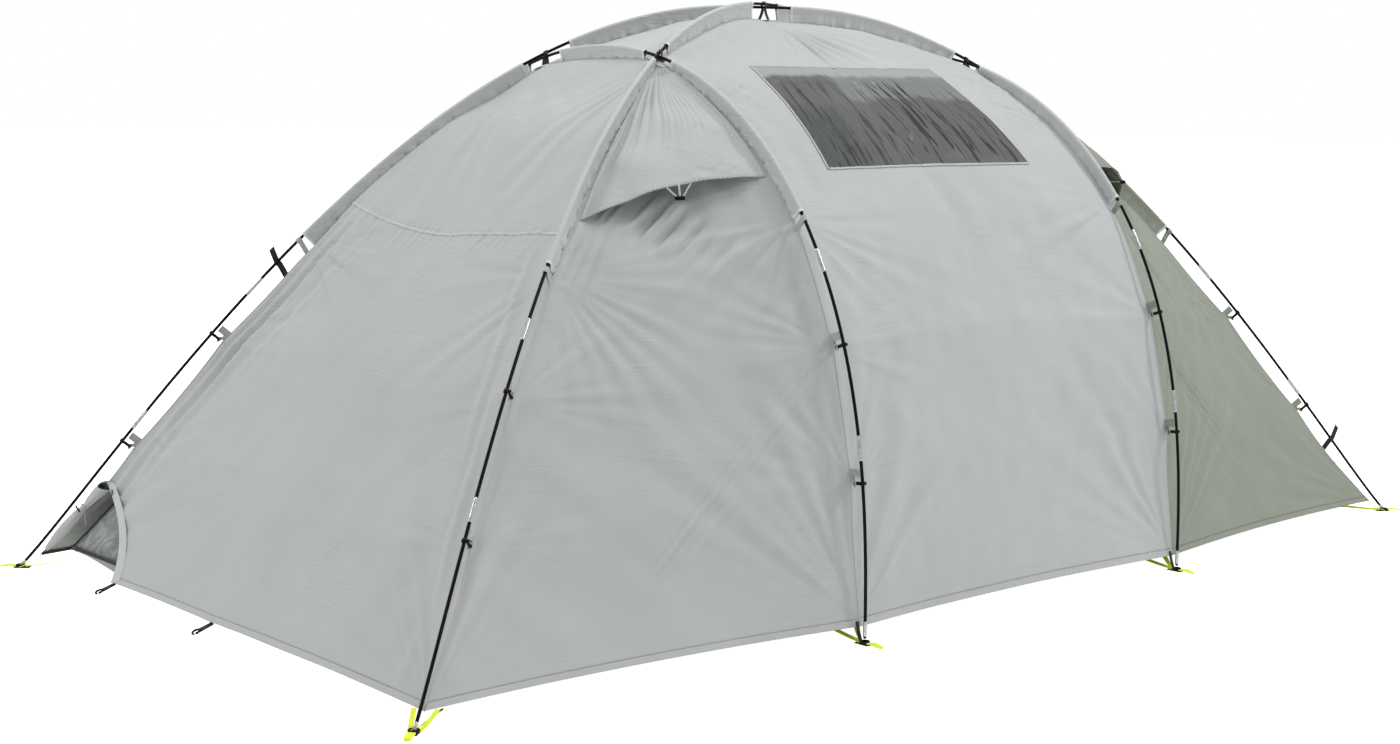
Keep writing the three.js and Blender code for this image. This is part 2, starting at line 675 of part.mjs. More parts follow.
const addDoorRoll = () => {
  const pole = legPole('diagonal', -1, 1);
  const beside = (height, radius) => {
    const share = -solve(height, (at) => seamPoint(pole, -at).z, 0.5, 1);
    return besidePole(pole, share, standoff(pole.point(share).z), -radius - 3);
  };
  const from = beside(ROLL.foot, ROLL.thin + 6);
  const to = beside(ROLL.top, ROLL.wide);
  const length = from.distanceTo(to);
  const neckY = ROLL.neckAt * length;
  const profile = [
    [0, 0],
    [ROLL.thin, 0],
    [ROLL.wide * 0.75, neckY * 0.6],
    [ROLL.neck, neckY],
    [ROLL.wide, length],
    [ROLL.mouth, length],
    [ROLL.mouth * 0.7, length - ROLL.deep],
    [0, length - ROLL.deep],
  ].map(([radius, y]) => new THREE.Vector2(radius, y));
  const roll = add('door_roll', new THREE.LatheGeometry(profile, 16), MATERIALS.fly);
  layBetween(roll, from, to, vec(-1, 0, 0));

  // The toggle lies across the neck of the roll, on the outside.
  const toggle = add(
    'door_toggle',
    new THREE.CapsuleGeometry(TOGGLE.radius, TOGGLE.length, 4, 10).rotateZ(Math.PI / 2),
    MATERIALS.hook,
  );
  toggle.quaternion.copy(roll.quaternion);
  const off = vec(0, 0, 1).applyQuaternion(roll.quaternion);
  toggle.position.copy(mix(from, to, ROLL.neckAt));
  toggle.position.addScaledVector(off, ROLL.neck + TOGGLE.radius + 2);
};

const addZipSlider = () => {
  const body = new THREE.BoxGeometry(SLIDER.width, SLIDER.length, SLIDER.thick);
  const pull = new THREE.BoxGeometry(SLIDER.width * 0.6, SLIDER.pull, 1.6);
  pull.translate(0, SLIDER.length / 2 + SLIDER.pull / 2 - 3, SLIDER.thick / 2);
  const slider = add('door_zip_slider', fuse(body, pull), MATERIALS.hook);
  const start = doorTop.clone().lerp(doorHemEnd, SLIDER.start / doorEdge.getLength());
  layBetween(slider, start, doorHemEnd, vec(-1, 0, 0));
  slider.translateX(SLIDER.clear);
};

const addPegLoops = () => {
  PEG_LOOP.places.forEach((y, index) => {
    const { reach, drop, width, thick, ring } = PEG_LOOP;
    const length = Math.hypot(reach, drop);
    const strap = new THREE.BoxGeometry(width, length - ring, thick);
    strap.translate(0, (length - ring) / 2, 0);
    const eye = new THREE.TorusGeometry(ring - 2, 2.2, 6, 14).translate(0, length - 2, 0);
    const loop = add(`hem_peg_loop_${index + 1}`, fuse(strap, eye), MATERIALS.webbing);
    const from = endHem(-1).getPoint(0.5).setY(y).add(vec(-3, 0, -5));
    layBetween(loop, from, from.clone().add(vec(-reach, 0, -drop)), UP);
  });
};

addDoorRoll();
addZipSlider();
addPegLoops();

// ---------- Inner tent ----------

const floorOutline = () => {
  const quarter = [
    [FLOOR.endX, FLOOR.endY],
    [FLOOR.hoopX, FLOOR.hoopY],
  ];
  const far = [...quarter, ...quarter.slice().reverse().map(([x, y]) => [-x, y])];
  return [...far, ...far.map(([x, y]) => [-x, -y])];
};

const addFloor = () => {
  const outline = floorOutline();
  const ring = (scale, z) =>
    outline.map(([x, y]) => {
      const length = Math.hypot(x, y);
      const pull = (length - scale) / length;
      return vec(x * pull, y * pull, z);
    });
  const { wall, thick } = FLOOR;
  const rings = [ring(0, 0), ring(0, wall), ring(thick, wall), ring(thick, thick)];
  const count = outline.length;
  const positions = rings.flat();
  const triangles = [];
  for (const level of range(3)) {
    for (const step of range(count)) {
      const next = (step + 1) % count;
      const [a, b] = [level * count + step, level * count + next];
      triangles.push([a, b, b + count], [a, b + count, a + count]);
    }
  }
  for (const step of range(count - 2)) {
    triangles.push([0, step + 2, step + 1]);
    const top = 3 * count;
    triangles.push([top, top + step + 1, top + step + 2]);
  }
  add('inner_floor', solidFrom(positions, triangles), MATERIALS.floor);
};

// The inner tent follows the fly's eight seams, drawn in towards the middle. It starts and ends at
// the middle of its left end, with its doorway to each side of there.
const INNER_LEGS = [
  ['diagonal', -1, -1],
  ['hoop', -1, -1],
  ['hoop', 1, -1],
  ['diagonal', 1, -1],
  ['diagonal', 1, 1],
  ['hoop', 1, 1],
  ['hoop', -1, 1],
  ['diagonal', -1, 1],
];

const innerRing = (height) => {
  const corners = INNER_LEGS.map(([kind, sx, sy]) => {
    const pole = legPole(kind, sx, sy);
    const sign = legSign(kind, sx, sy);
    const share = sign * solve(height, (at) => seamPoint(pole, sign * at).z, 0.1, 1);
    const point = seamPoint(pole, share);
    const inset = kind === 'hoop' ? INNER.inset : INNER.cornerInset;
    return vec(point.x - sx * inset, point.y - sy * inset, height);
  });
  const start = mix(corners[0], corners[7], 0.5);
  const edge = vec(0, INNER_DOOR.half, 0);
  return [start.clone().sub(edge), ...corners, start.clone().add(edge)];
};

const addInnerTent = () => {
  const foot = FLOOR.wall + 6;
  const heights = spread(foot, INNER.top, INNER_ROWS);
  const crown = vec(INNER.crownShare, INNER.crownShare, (INNER.top + INNER.crown) / INNER.top);
  const roof = innerRing(INNER.top).map((point) => point.multiply(crown));
  const rings = [...heights.map(innerRing), roof];
  const cells = rings[0].length - 1;
  const surface = (u, v) => {
    const level = limit(v) * (rings.length - 1);
    const low = Math.min(rings.length - 2, Math.floor(level));
    const along = limit(u) * cells;
    const step = Math.min(cells - 1, Math.floor(along));
    const on = (ring) => mix(ring[step], ring[step + 1], along - step);
    return mix(on(rings[low]), on(rings[low + 1]), level - low);
  };
  const us = spread(0, 1, INNER_COLUMNS);
  const vs = spread(0, 1, rings.length - 1);
  const doorway = (i, j) => (i === 0 || i === us.length - 2) && j < INNER_DOOR.rows;
  add('inner_tent', shell(surface, us, vs, (i, j) => !doorway(i, j)), MATERIALS.mesh);
};

addFloor();
addInnerTent();

export default group;
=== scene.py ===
# Dome tent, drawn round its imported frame. Metres, +Z up, the origin on the ground at the middle of
# the tent, +X along its length. "near" is -Y, "far" is +Y, "left" is -X and "right" is +X.

import math

import bpy
import numpy as np
from mathutils import Matrix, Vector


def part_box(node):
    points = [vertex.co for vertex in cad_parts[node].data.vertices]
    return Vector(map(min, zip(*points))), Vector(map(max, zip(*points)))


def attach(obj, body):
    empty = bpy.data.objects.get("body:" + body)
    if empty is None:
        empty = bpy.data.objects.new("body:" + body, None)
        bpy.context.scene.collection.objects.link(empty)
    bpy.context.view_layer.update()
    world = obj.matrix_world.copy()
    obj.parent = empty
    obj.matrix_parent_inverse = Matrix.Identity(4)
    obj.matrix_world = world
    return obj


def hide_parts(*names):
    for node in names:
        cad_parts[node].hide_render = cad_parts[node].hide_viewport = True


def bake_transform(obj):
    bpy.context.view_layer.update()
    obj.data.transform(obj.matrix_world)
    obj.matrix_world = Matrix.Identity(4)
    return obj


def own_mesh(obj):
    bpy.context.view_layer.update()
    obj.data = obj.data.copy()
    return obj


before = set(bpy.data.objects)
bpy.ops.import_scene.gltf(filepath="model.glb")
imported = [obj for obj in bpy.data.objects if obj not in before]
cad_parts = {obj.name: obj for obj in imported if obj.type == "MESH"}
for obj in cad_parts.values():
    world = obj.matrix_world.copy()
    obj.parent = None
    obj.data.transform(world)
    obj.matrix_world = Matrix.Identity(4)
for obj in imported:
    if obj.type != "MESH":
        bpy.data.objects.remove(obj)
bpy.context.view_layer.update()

# ---------- Driving dimensions ----------

LENGTH = 4.3
END_WIDTH = 2.235
HOOP_WIDTH = 2.45
HOOP_X = 0.72
HOOP_CROWN_X = 0.692
APEX_HEIGHT = 1.807
HOOP_HEIGHT = 1.655
POLE_RADIUS = 0.00475
POLE_END_HEIGHT = 0.006
CROSSING_STEP = 0.0105
DIAGONAL_SHAPE = {"power": 2.165, "finish": 1.111, "bow": 0.089}
HOOP_SHAPE = {"power": 2.072, "finish": 0.392, "lean": 4.8}
DIAGONAL_DIP = 0.25

STANDOFF = 0.048  # from a pole's middle to the cloth, above STANDOFF_RISE
FOOT_STANDOFF = 0.015
STANDOFF_RISE = 0.4
HEM_HEIGHT = {"diagonal": 0.038, "hoop": 0.046}
HEM_INSET = 0.012
TOP_FADE = 2.4

SLEEVE_END = {"diagonal": 1.38, "hoop": 1.23}
SLEEVE_GAP = {"diagonal": {-1: 0.05, 1: 0.085}, "hoop": {-1: 0.068, 1: 0.085}, "apex": 0.095}
HOOK_ARC = {"diagonal": (0.512, 0.955), "hoop": (0.436, 0.826)}
HOOK_REACH = 0.031
HOOK_WIDTH = 0.014

HOOD = {"bottom": 0.665, "top": 0.955, "left": 0.04, "right": 0.965, "lift": 0.075, "curve": 1.3}
# "heel" is the far right prop's hinge, mirrored to each corner. "across" and "up" are the prop's
# place as shares of its panel, and "drop" is how far its toe is below the hood's hem.
PROP = {"heel": (0.9566, 0.6823, 1.2269), "across": 0.52, "up": 0.68, "drop": 0.034, "width": 0.022}
WINDOW = {"bottom_half": 0.455, "top_half": 0.405, "bottom": 1.3, "top": 1.598}
DOOR = {"hem": 0.775, "height": 0.262}
ROLL = {"foot": 0.06, "top": 0.262, "thin": 0.007, "wide": 0.02}
ROLL_TIE = 0.66  # the tie's place on the roll, as a share of its length
PEG_LOOPS = (0.6, 0.0)
FLOOR = {"corner": (2.02, 0.965), "hoop": (0.7, 1.035), "wall": 0.06}
INNER = {"inset": 0.08, "corner_inset": 0.055, "top": 1.5, "crown": 0.09, "crown_share": 0.1}

# ---------- Looks ----------

FERRULES = {"diagonal": ((0.565, 0.635), (1.12, 1.19)), "hoop": ((0.5, 0.57), (1.04, 1.11))}
MIDDLE_FERRULE = (0.52, 0.45)  # each pole has one more, this far before its middle
# The cloth is drawn towards the poles by these shares of the standoff. "rise" and "fall" are the
# heights where that starts and stops, and "beyond" is the same for the distance from the middle.
CROSSING_DRAW = {-1: 0.5, 1: 0.25}  # near and far
CROSSING_REACH = 0.17
HOOP_DRAW = {"share": 0.2, "rise": (0.8, 1.15)}
FAR_SLEEVE_DRAW = {"share": 0.4, "rise": (1.06, 1.22), "fall": (1.42, 1.56), "beyond": (0.1, 0.3)}
SCALLOP = {"near": 0.006, "sag": 0.009}  # the seam is closer to the pole at hooks, and sags between
CLOTH = 0.0008  # thickness of the fly

UP = np.array([0.0, 0.0, 1.0])
LEFTWARDS = np.array([-1.0, 0.0, 0.0])
SIDES = ((-1, "near"), (1, "far"))
ENDS = ((-1, "left"), (1, "right"))
CORNERS = [(sx, sy, f"{side}_{end}") for sy, side in SIDES for sx, end in ENDS]
CORNER_NAMES = {(sx, sy): corner for sx, sy, corner in CORNERS}
SAGE_CORNER = (1, -1)

# ---------- Small tools ----------


def unit(v):
    return v / np.maximum(np.linalg.norm(v, axis=-1, keepdims=True), 1e-9)


def ramp(start, stop, x):
    share = np.clip((x - start) / (stop - start), 0, 1)
    return share * share * (3 - 2 * share)


def curve(points):
    """The points as a function of the share of their length, from 0 to 1."""
    steps = np.linalg.norm(np.diff(points, axis=0), axis=1)
    shares = np.concatenate([[0], np.cumsum(steps)]) / max(steps.sum(), 1e-9)
    return lambda share: np.stack([np.interp(share, shares, points[:, k]) for k in range(3)], -1)


def length_of(points):
    return float(np.linalg.norm(np.diff(points, axis=0), axis=1).sum())


def area_of(grid):
    first, second = np.diff(grid, axis=0)[:, :-1], np.diff(grid, axis=1)[:-1]
    return float(np.linalg.norm(np.cross(first, second), axis=-1).sum())


def direction(path):
    """The way a path runs, at each of its points."""
    return unit(np.gradient(path, axis=0))


def paired(u, v):
    """The coordinates of cloth, from a column and a row of them."""
    return np.stack(np.broadcast_arrays(u, v), -1)


def waves(x, seed, low, high, count=6):
    """A sum of cosines of x, with angular frequencies from low to high."""
    draw = np.random.default_rng(seed)
    pairs = zip(draw.uniform(low, high, count), draw.uniform(0, 2 * np.pi, count))
    return sum(np.cos(rate * x + phase) for rate, phase in pairs) / math.sqrt(count)


def swell(points, seed, size):
    """Soft unevenness in space, about 1 high, whose bumps are about size across."""
    draw = np.random.default_rng(seed)
    total = 0
    for _ in range(9):
        way = unit(draw.normal(size=3))
        rate = 2 * np.pi / (size * draw.uniform(0.7, 1.6))
        total = total + np.cos(points @ way * rate + draw.uniform(0, 2 * np.pi))
    return total / 3


# ---------- Meshes ----------


def grid_faces(rows, columns, start=0, ring=False):
    """Quads between rows of points. ring closes each row on itself."""
    faces = []
    for row in range(rows - 1):
        for column in range(columns if ring else columns - 1):
            following = (column + 1) % columns
            a, b = start + row * columns + column, start + row * columns + following
            faces.append((a, b, b + columns, a + columns))
    return faces


class Shape:
    """Collects the parts of one mesh. A part's look is the place of its material in the list."""

    def __init__(self):
        self.points, self.faces, self.looks, self.places = [], [], [], []

    def add(self, points, faces, look=0, places=None):
        """places are the points' positions on flat cloth, in metres."""
        start = len(self.points)
        points = np.reshape(points, (-1, 3))
        self.points.extend(points.tolist())
        self.faces.extend(tuple(start + corner for corner in face) for face in faces)
        self.looks.extend([look] * len(faces))
        flat = points[:, :2] if places is None else np.reshape(places, (-1, 2))
        self.places.extend(flat.tolist())

    def sheet(self, grid, places, look=0, keep=None):
        """A grid of points, with an optional mask of the cells that are kept."""
        rows, columns = grid.shape[:2]
        faces = grid_faces(rows, columns)
        if keep is not None:
            faces = [face for face, kept in zip(faces, keep.reshape(-1)) if kept]
        self.add(grid, faces, look, places)

    def sweep(self, path, side, up, section, look=0, caps=True):
        """A closed section of (side, up) offsets along a path. It may differ at each step."""
        path = np.asarray(path)
        side, up = np.broadcast_to(side, path.shape), np.broadcast_to(up, path.shape)
        section = np.broadcast_to(section, (len(path),) + np.shape(section)[-2:])
        points = path[:, None] + side[:, None] * section[..., :1] + up[:, None] * section[..., 1:]
        rows, columns = points.shape[:2]
        faces = grid_faces(rows, columns, ring=True)
        if caps:
            faces.append(tuple(reversed(range(columns))))
            faces.append(tuple((rows - 1) * columns + column for column in range(columns)))
        steps = np.linalg.norm(np.diff(path, axis=0), axis=1)
        along = np.concatenate([[0], np.cumsum(steps)])
        outline = np.linalg.norm(np.diff(section[0], axis=0), axis=1)
        around = np.concatenate([[0], np.cumsum(outline)])
        places = np.stack(np.meshgrid(around, along), -1)
        self.add(points, faces, look, places)

    def make(self, name, materials, slot, body="tent"):
        mesh = bpy.data.meshes.new(name)
        mesh.from_pydata(self.points, [], self.faces)
        layer = mesh.uv_layers.new(name="cloth")
        corners = np.empty(len(mesh.loops), dtype=np.int64)
        mesh.loops.foreach_get("vertex_index", corners)
        layer.data.foreach_set("uv", np.array(self.places)[corners].astype(np.float32).ravel())
        for material in materials:
            mesh.materials.append(material)
        mesh.polygons.foreach_set("material_index", self.looks)
        mesh.polygons.foreach_set("use_smooth", [True] * len(self.faces))
        mesh.update()
        piece = bpy.data.objects.new(name, mesh)
        bpy.context.scene.collection.objects.link(piece)
        if body is not None:
            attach(piece, body)
        return piece


def thicken(piece, thickness=CLOTH):
    solid = piece.modifiers.new("thickness", "SOLIDIFY")
    solid.thickness = thickness
    solid.offset = 0
    return piece


def sized(outline, sizes):
    """One outline in the size it has at each step of a sweep."""
    return outline[None] * np.asarray(sizes)[:, None, None]


def circle(radius, sides=12, squash=1.0):
    angles = np.arange(sides) * 2 * np.pi / sides
    return np.stack([radius * np.cos(angles), radius * squash * np.sin(angles)], -1)


def rounded(width, height, radius, steps=3):
    """A rectangle with round corners, as a closed outline."""
    points = []
    for quarter, (sx, sy) in enumerate(((1, 1), (-1, 1), (-1, -1), (1, -1))):
        for step in range(steps + 1):
            angle = (quarter + step / steps) * math.pi / 2
            x = sx * (width / 2 - radius) + radius * math.cos(angle)
            y = sy * (height / 2 - radius) + radius * math.sin(angle)
            points.append((x, y))
    return np.array(points)


def tapered(widths, thick, radius, steps=2):
    """Rounded sections of one thickness, with the width at each step of a sweep."""
    return np.array([rounded(width, thick, radius, steps) for width in widths])


def ball(centre, axes, sides=12, rings=8):
    """An ellipsoid's points and faces. axes are its three half axes, as vectors."""
    points = [centre + axes[2]]
    for ring in range(1, rings):
        angle = math.pi * ring / rings
        for side in range(sides):
            turn = 2 * math.pi * side / sides
            flat = math.cos(turn) * axes[0] + math.sin(turn) * axes[1]
            points.append(centre + math.cos(angle) * axes[2] + math.sin(angle) * flat)
    points.append(centre - axes[2])
    faces = grid_faces(rings - 1, sides, 1, ring=True)
    last = len(points) - 1
    for side in range(sides):
        following = (side + 1) % sides
        faces.append((0, 1 + following, 1 + side))
        faces.append((last, last - sides + side, last - sides + following))
    return np.array(points), faces


def strip(shape, path, side, width, thick, look=0, ripple=0.0):
    """Flat webbing along a path. side points across it."""
    path = np.asarray(path)
    tangent = direction(path)
    side = unit(np.broadcast_to(side, path.shape))
    up = unit(np.cross(tangent, side))
    if ripple:
        path = path + up * (ripple * np.sin(np.linspace(0, 3 * np.pi, len(path))))[:, None]
    shape.sweep(path, side, up, rounded(width, thick, thick * 0.45, 2), look)


def bend(points, count=16):
    """A smooth path through a few points."""
    points = np.asarray(points, float)
    ends = np.concatenate([[2 * points[0] - points[1]], points, [2 * points[-1] - points[-2]]])
    path = []
    for index in range(1, len(ends) - 2):
        a, b, c, d = ends[index - 1 : index + 3]
        for share in np.linspace(0, 1, count, endpoint=False):
            path.append(
                0.5 * (2 * b + (c - a) * share + (2 * a - 5 * b + 4 * c - d) * share**2
                + (3 * b - a - 3 * c + d) * share**3)
            )
    path.append(ends[-2])
    return np.array(path)


# ---------- Materials ----------


def tone(red, green, blue):
    """A colour as it looks on a screen, from 0 to 255, to a linear one."""
    shares = [part / 255 for part in (red, green, blue)]
    return [part / 12.92 if part <= 0.04045 else ((part + 0.055) / 1.055) ** 2.4 for part in shares]


class Look:
    """A material and short ways to add nodes to it."""

    def __init__(self, name):
        self.material = bpy.data.materials.new(name)
        self.material.use_nodes = True
        self.tree = self.material.node_tree
        self.shader = self.tree.nodes["Principled BSDF"]

    def add(self, kind, inputs=None, **settings):
        node = self.tree.nodes.new("ShaderNode" + kind)
        for key, value in settings.items():
            setattr(node, key, value)
        for key, value in (inputs or {}).items():
            if isinstance(value, bpy.types.NodeSocket):
                self.tree.links.new(value, node.inputs[key])
            else:
                node.inputs[key].default_value = value
        return node

    def set(self, **values):
        for key, value in values.items():
            self.shader.inputs[key.replace("_", " ")].default_value = value

    def link(self, output, name):
        self.tree.links.new(output, self.shader.inputs[name])

    def math(self, operation, a, b):
        return self.add("Math", {0: a, 1: b}, operation=operation).outputs[0]

    def noise(self, where, scale, detail=3.0, roughness=0.55, distortion=0.0):
        inputs = {
            "Vector": where, "Scale": scale, "Detail": detail,
            "Roughness": roughness, "Distortion": distortion,
        }
        return self.add("TexNoise", inputs).outputs["Fac"]

    def stripes(self, where, pitch, axis):
        """Bands across X or Y of a position in metres, from 0 to 1."""
        inputs = {"Vector": where, "Scale": 2 * math.pi / 20 / pitch}
        node = self.add("TexWave", inputs, wave_type="BANDS", bands_direction=axis)
        return node.outputs["Fac"]

    def blend_colors(self, share, first, second):
        """A mix of two colours. The first may be a node's output."""
        if not isinstance(first, bpy.types.NodeSocket):
            first = (*first, 1)
        node = self.add("MixRGB", {"Fac": share, "Color1": first, "Color2": (*second, 1)})
        return node.outputs[0]

    def spread(self, value, low, high, to_low=0.0, to_high=1.0):
        inputs = {
            "Value": value, "From Min": low, "From Max": high, "To Min": to_low, "To Max": to_high,
        }
        return self.add("MapRange", inputs).outputs[0]

    def bump(self, height, distance, strength=1.0, under=None):
        inputs = {"Height": height, "Distance": distance, "Strength": strength}
        if under is not None:
            inputs["Normal"] = under
        return self.add("Bump", inputs).outputs[0]

    def positions(self):
        node = self.add("TexCoord")
        return node.outputs["Object"], node.outputs["UV"]


def cloth_look(name, color, shade=0.93, roughness=0.72, crinkle=0.0016, weave=0.0011):
    """Coated polyester: a fine plain weave, faint crinkles and slightly uneven colour."""
    look = Look(name)
    place, flat = look.positions()
    patches = look.spread(look.noise(place, 2.2, 4, 0.6), 0.3, 0.7)
    darker = [part * shade for part in color]
    look.link(look.blend_colors(patches, darker, color), "Base Color")
    threads = look.math("ADD", look.stripes(flat, weave, "X"), look.stripes(flat, weave, "Y"))
    broad = look.noise(place, 7, 4, 0.55, 0.6)
    fine = look.noise(place, 42, 3, 0.6, 0.4)
    drawn_out = {"Vector": place, "Rotation": (0.5, -0.6, 0.4), "Scale": (5, 5, 26)}
    lines = look.noise(look.add("Mapping", drawn_out).outputs[0], 1, 2, 0.5, 0.8)
    ridges = look.spread(look.math("ABSOLUTE", look.math("SUBTRACT", lines, 0.5), 0), 0, 0.05, 1, 0)
    where = look.spread(look.noise(place, 2.6, 2), 0.47, 0.62)
    folded = look.bump(broad, crinkle * 4, 0.45)
    creased = look.bump(look.math("MULTIPLY", ridges, where), crinkle, 0.55, folded)
    crinkled = look.bump(fine, crinkle * 0.35, 0.3, creased)
    look.link(look.bump(threads, 0.00008, 0.25, crinkled), "Normal")
    sheen = look.spread(fine, 0.3, 0.7, roughness - 0.05, roughness + 0.06)
    look.link(sheen, "Roughness")
    look.set(Specular_IOR_Level=0.35, Sheen_Weight=0.12, Sheen_Roughness=0.45)
    return look.material


def webbing_look(name, color, pitch=0.0016, painted_glow=0.0):
    """Woven strap: ribs along it and cross threads."""
    look = Look(name)
    place, flat = look.positions()
    ribs = look.stripes(flat, pitch, "X")
    threads = look.stripes(flat, pitch * 0.7, "Y")
    height = look.math("ADD", ribs, look.math("MULTIPLY", threads, 0.6))
    wear = look.spread(look.noise(place, 60, 4), 0.35, 0.75)
    lighter = [part * 0.82 + 0.01 for part in color]
    look.link(look.blend_colors(wear, color, lighter), "Base Color")
    look.link(look.bump(height, 0.00012, 0.35), "Normal")
    look.link(look.spread(wear, 0, 1, 0.72, 0.86), "Roughness")
    look.set(Sheen_Weight=0.15, Sheen_Roughness=0.5)
    if painted_glow:  # painted light: an emission that keeps the strap bright in the shade under the hem
        look.set(Emission_Color=(*color, 1), Emission_Strength=painted_glow)
    return look.material


def plastic_look(name, color, roughness=0.42, grain=0.00015):
    """Moulded plastic with a fine grain and rubbed patches."""
    look = Look(name)
    place, _ = look.positions()
    rubbed = look.spread(look.noise(place, 90, 4, 0.6), 0.35, 0.75)
    lighter = [min(1.0, part * 1.5 + 0.006) for part in color]
    look.link(look.blend_colors(rubbed, color, lighter), "Base Color")
    look.link(look.spread(rubbed, 0, 1, roughness - 0.06, roughness + 0.12), "Roughness")
    look.link(look.bump(look.noise(place, 900, 2), grain, 0.4), "Normal")
    look.set(Specular_IOR_Level=0.15)
    return look.material


def pole_look():
    """Pultruded glass fibre: satin black, with faint lengthwise grain."""
    look = Look("pole_black")
    place, flat = look.positions()
    grain = look.noise(look.add("Mapping", {"Vector": flat, "Scale": (900, 6, 1)}).outputs[0], 1, 3)
    patches = look.spread(look.noise(place, 5, 3), 0.3, 0.75)
    look.link(look.blend_colors(patches, tone(5, 5, 6), tone(16, 14, 15)), "Base Color")
    look.link(look.bump(grain, 0.0001, 0.3), "Normal")
    look.link(look.spread(grain, 0.3, 0.7, 0.4, 0.52), "Roughness")
    look.set(Specular_IOR_Level=0.12)
    return look.material


def metal_look():
    """Drawn metal ferrules and tips, with fine rings round them."""
    look = Look("ferrule_metal")
    place, flat = look.positions()
    rings = look.stripes(flat, 0.0009, "Y")
    marks = look.spread(look.noise(place, 120, 4), 0.35, 0.7)
    look.link(look.blend_colors(marks, tone(176, 181, 183), tone(226, 230, 232)), "Base Color")
    look.link(look.bump(rings, 0.00004, 0.4), "Normal")
    look.link(look.spread(marks, 0, 1, 0.34, 0.24), "Roughness")
    look.set(Metallic=0.75)
    return look.material


def film_look():
    """Smoked window film, seen against a dark inside. It is paler along its top edge and in a
    painted reflection on the right, and dark creases of painted shade run down it."""
    look = Look("window_film")
    _, flat = look.positions()
    split = look.add("SeparateXYZ", {"Vector": flat})
    across, height = split.outputs["X"], split.outputs["Y"]
    clouds = look.noise(flat, 6, 3, 0.5, 1.2)
    turned = {"Vector": flat, "Rotation": (0, 0, math.radians(14)), "Scale": (70, 5.5, 1)}
    dashes = look.noise(look.add("Mapping", turned).outputs[0], 1.0, 2.5, 0.6, 0.5)
    wobble = look.math("ADD", height, look.math("MULTIPLY", clouds, 0.12))
    # Painted reflection: a paler, cloudy patch on the film's right.
    right = look.spread(across, -0.12, -0.09)
    right = look.math("MULTIPLY", right, look.spread(wobble, 0.27, 0.285))
    painted_reflection = look.math("MULTIPLY", right, 0.8)
    smoke_and_reflection = look.blend_colors(painted_reflection, tone(94, 94, 94), tone(130, 135, 131))
    left = look.math("MULTIPLY", look.spread(across, -0.2, -0.26), look.spread(wobble, 0.27, 0.23))
    green = look.blend_colors(left, smoke_and_reflection, tone(78, 82, 77))
    # Painted shade: dark creases that run down the film.
    where = look.math("MULTIPLY", look.spread(clouds, 0.68, 0.5), look.spread(wobble, 0.36, 0.3))
    dark = look.math("MULTIPLY", look.spread(dashes, 0.565, 0.585), where)
    crease_shaded = look.blend_colors(dark, green, tone(34, 35, 34))
    top = look.spread(look.math("ADD", height, look.math("MULTIPLY", clouds, 0.02)), 0.3, 0.312)
    look.link(look.blend_colors(top, crease_shaded, tone(160, 168, 162)), "Base Color")
    look.link(look.bump(dashes, 0.003, 0.5), "Normal")
    look.link(look.spread(dashes, 0.3, 0.7, 0.24, 0.4), "Roughness")
    look.set(Specular_IOR_Level=0.45, Coat_Weight=0.25, Coat_Roughness=0.15)
    return look.material


def net_look(name, dark, light):
    """Fine insect net: small cells, with pale and dark drifts that paint the light and shade of its
    creases.
    """
    look = Look(name)
    place, flat = look.positions()
    cells = look.math("MULTIPLY", look.stripes(flat, 0.0026, "X"), look.stripes(flat, 0.0026, "Y"))
    # Painted light and shade: pale and dark drifts where the net creases.
    drift = look.spread(look.noise(place, 16, 5, 0.65, 1.4), 0.36, 0.66)
    share = look.math("MULTIPLY", drift, look.spread(cells, 0, 1, 1, 0.55))
    look.link(look.blend_colors(share, dark, light), "Base Color")
    look.link(look.bump(cells, 0.0003, 0.5), "Normal")
    look.link(look.spread(drift, 0, 1, 0.9, 0.78), "Roughness")
    look.set(Sheen_Weight=0.1)
    return look.material


FLY = cloth_look("fly_grey", tone(186, 189, 188))
FLY_SAGE = cloth_look("fly_sage", tone(143, 149, 136))
# Lighter copies of the fly's cloth, as painted light: the sleeves' shaded sides look as bright as
# the fly. The placket, level seams and crossing patches use the grey one too.
SLEEVE_LIGHTENED = cloth_look("sleeve_grey", tone(196, 199, 198), crinkle=0.003)
SLEEVE_SAGE_LIGHTENED = cloth_look("sleeve_sage", tone(154, 160, 147), crinkle=0.003)
BINDING = cloth_look("binding_white", tone(216, 219, 218), roughness=0.55)
TAB_GREY = webbing_look("tab_grey", tone(178, 182, 178))
TAB_SAGE = webbing_look("tab_sage", tone(146, 155, 140))
# Painted shade: dark cloth for the turns inside the door roll's open end, which are fly cloth in
# shade.
ROLL_INSIDE_SHADE = cloth_look("binding_dark", tone(52, 54, 56), roughness=0.7)
WEBBING = webbing_look("webbing_black", tone(16, 16, 18))
# The lime strap glows as painted light, so it stays bright in the shade under the hem.
STRAP = webbing_look("strap_lime", tone(236, 250, 46), painted_glow=0.12)
PLASTIC = plastic_look("hook_black", tone(8, 8, 9))
POLE = pole_look()
METAL = metal_look()
FILM = film_look()
NET = net_look("vent_net", tone(34, 36, 36), tone(62, 65, 64))
INNER_NET = net_look("inner_net", tone(118, 121, 120), tone(176, 180, 179))
GROUND_CLOTH = cloth_look("ground_cloth", tone(150, 154, 154), roughness=0.6, crinkle=0.006)


def fly_cloth(sx, sy):
    """The material and slot of the fly at a corner."""
    return (FLY_SAGE, "fly_sage") if (sx, sy) == SAGE_CORNER else (FLY, "fly")


def tab_webbing(sx, sy):
    """The material and slot of the webbing at a corner."""
    return (TAB_SAGE, "fly_sage") if (sx, sy) == SAGE_CORNER else (TAB_GREY, "sleeve")


# ---------- Camera ----------

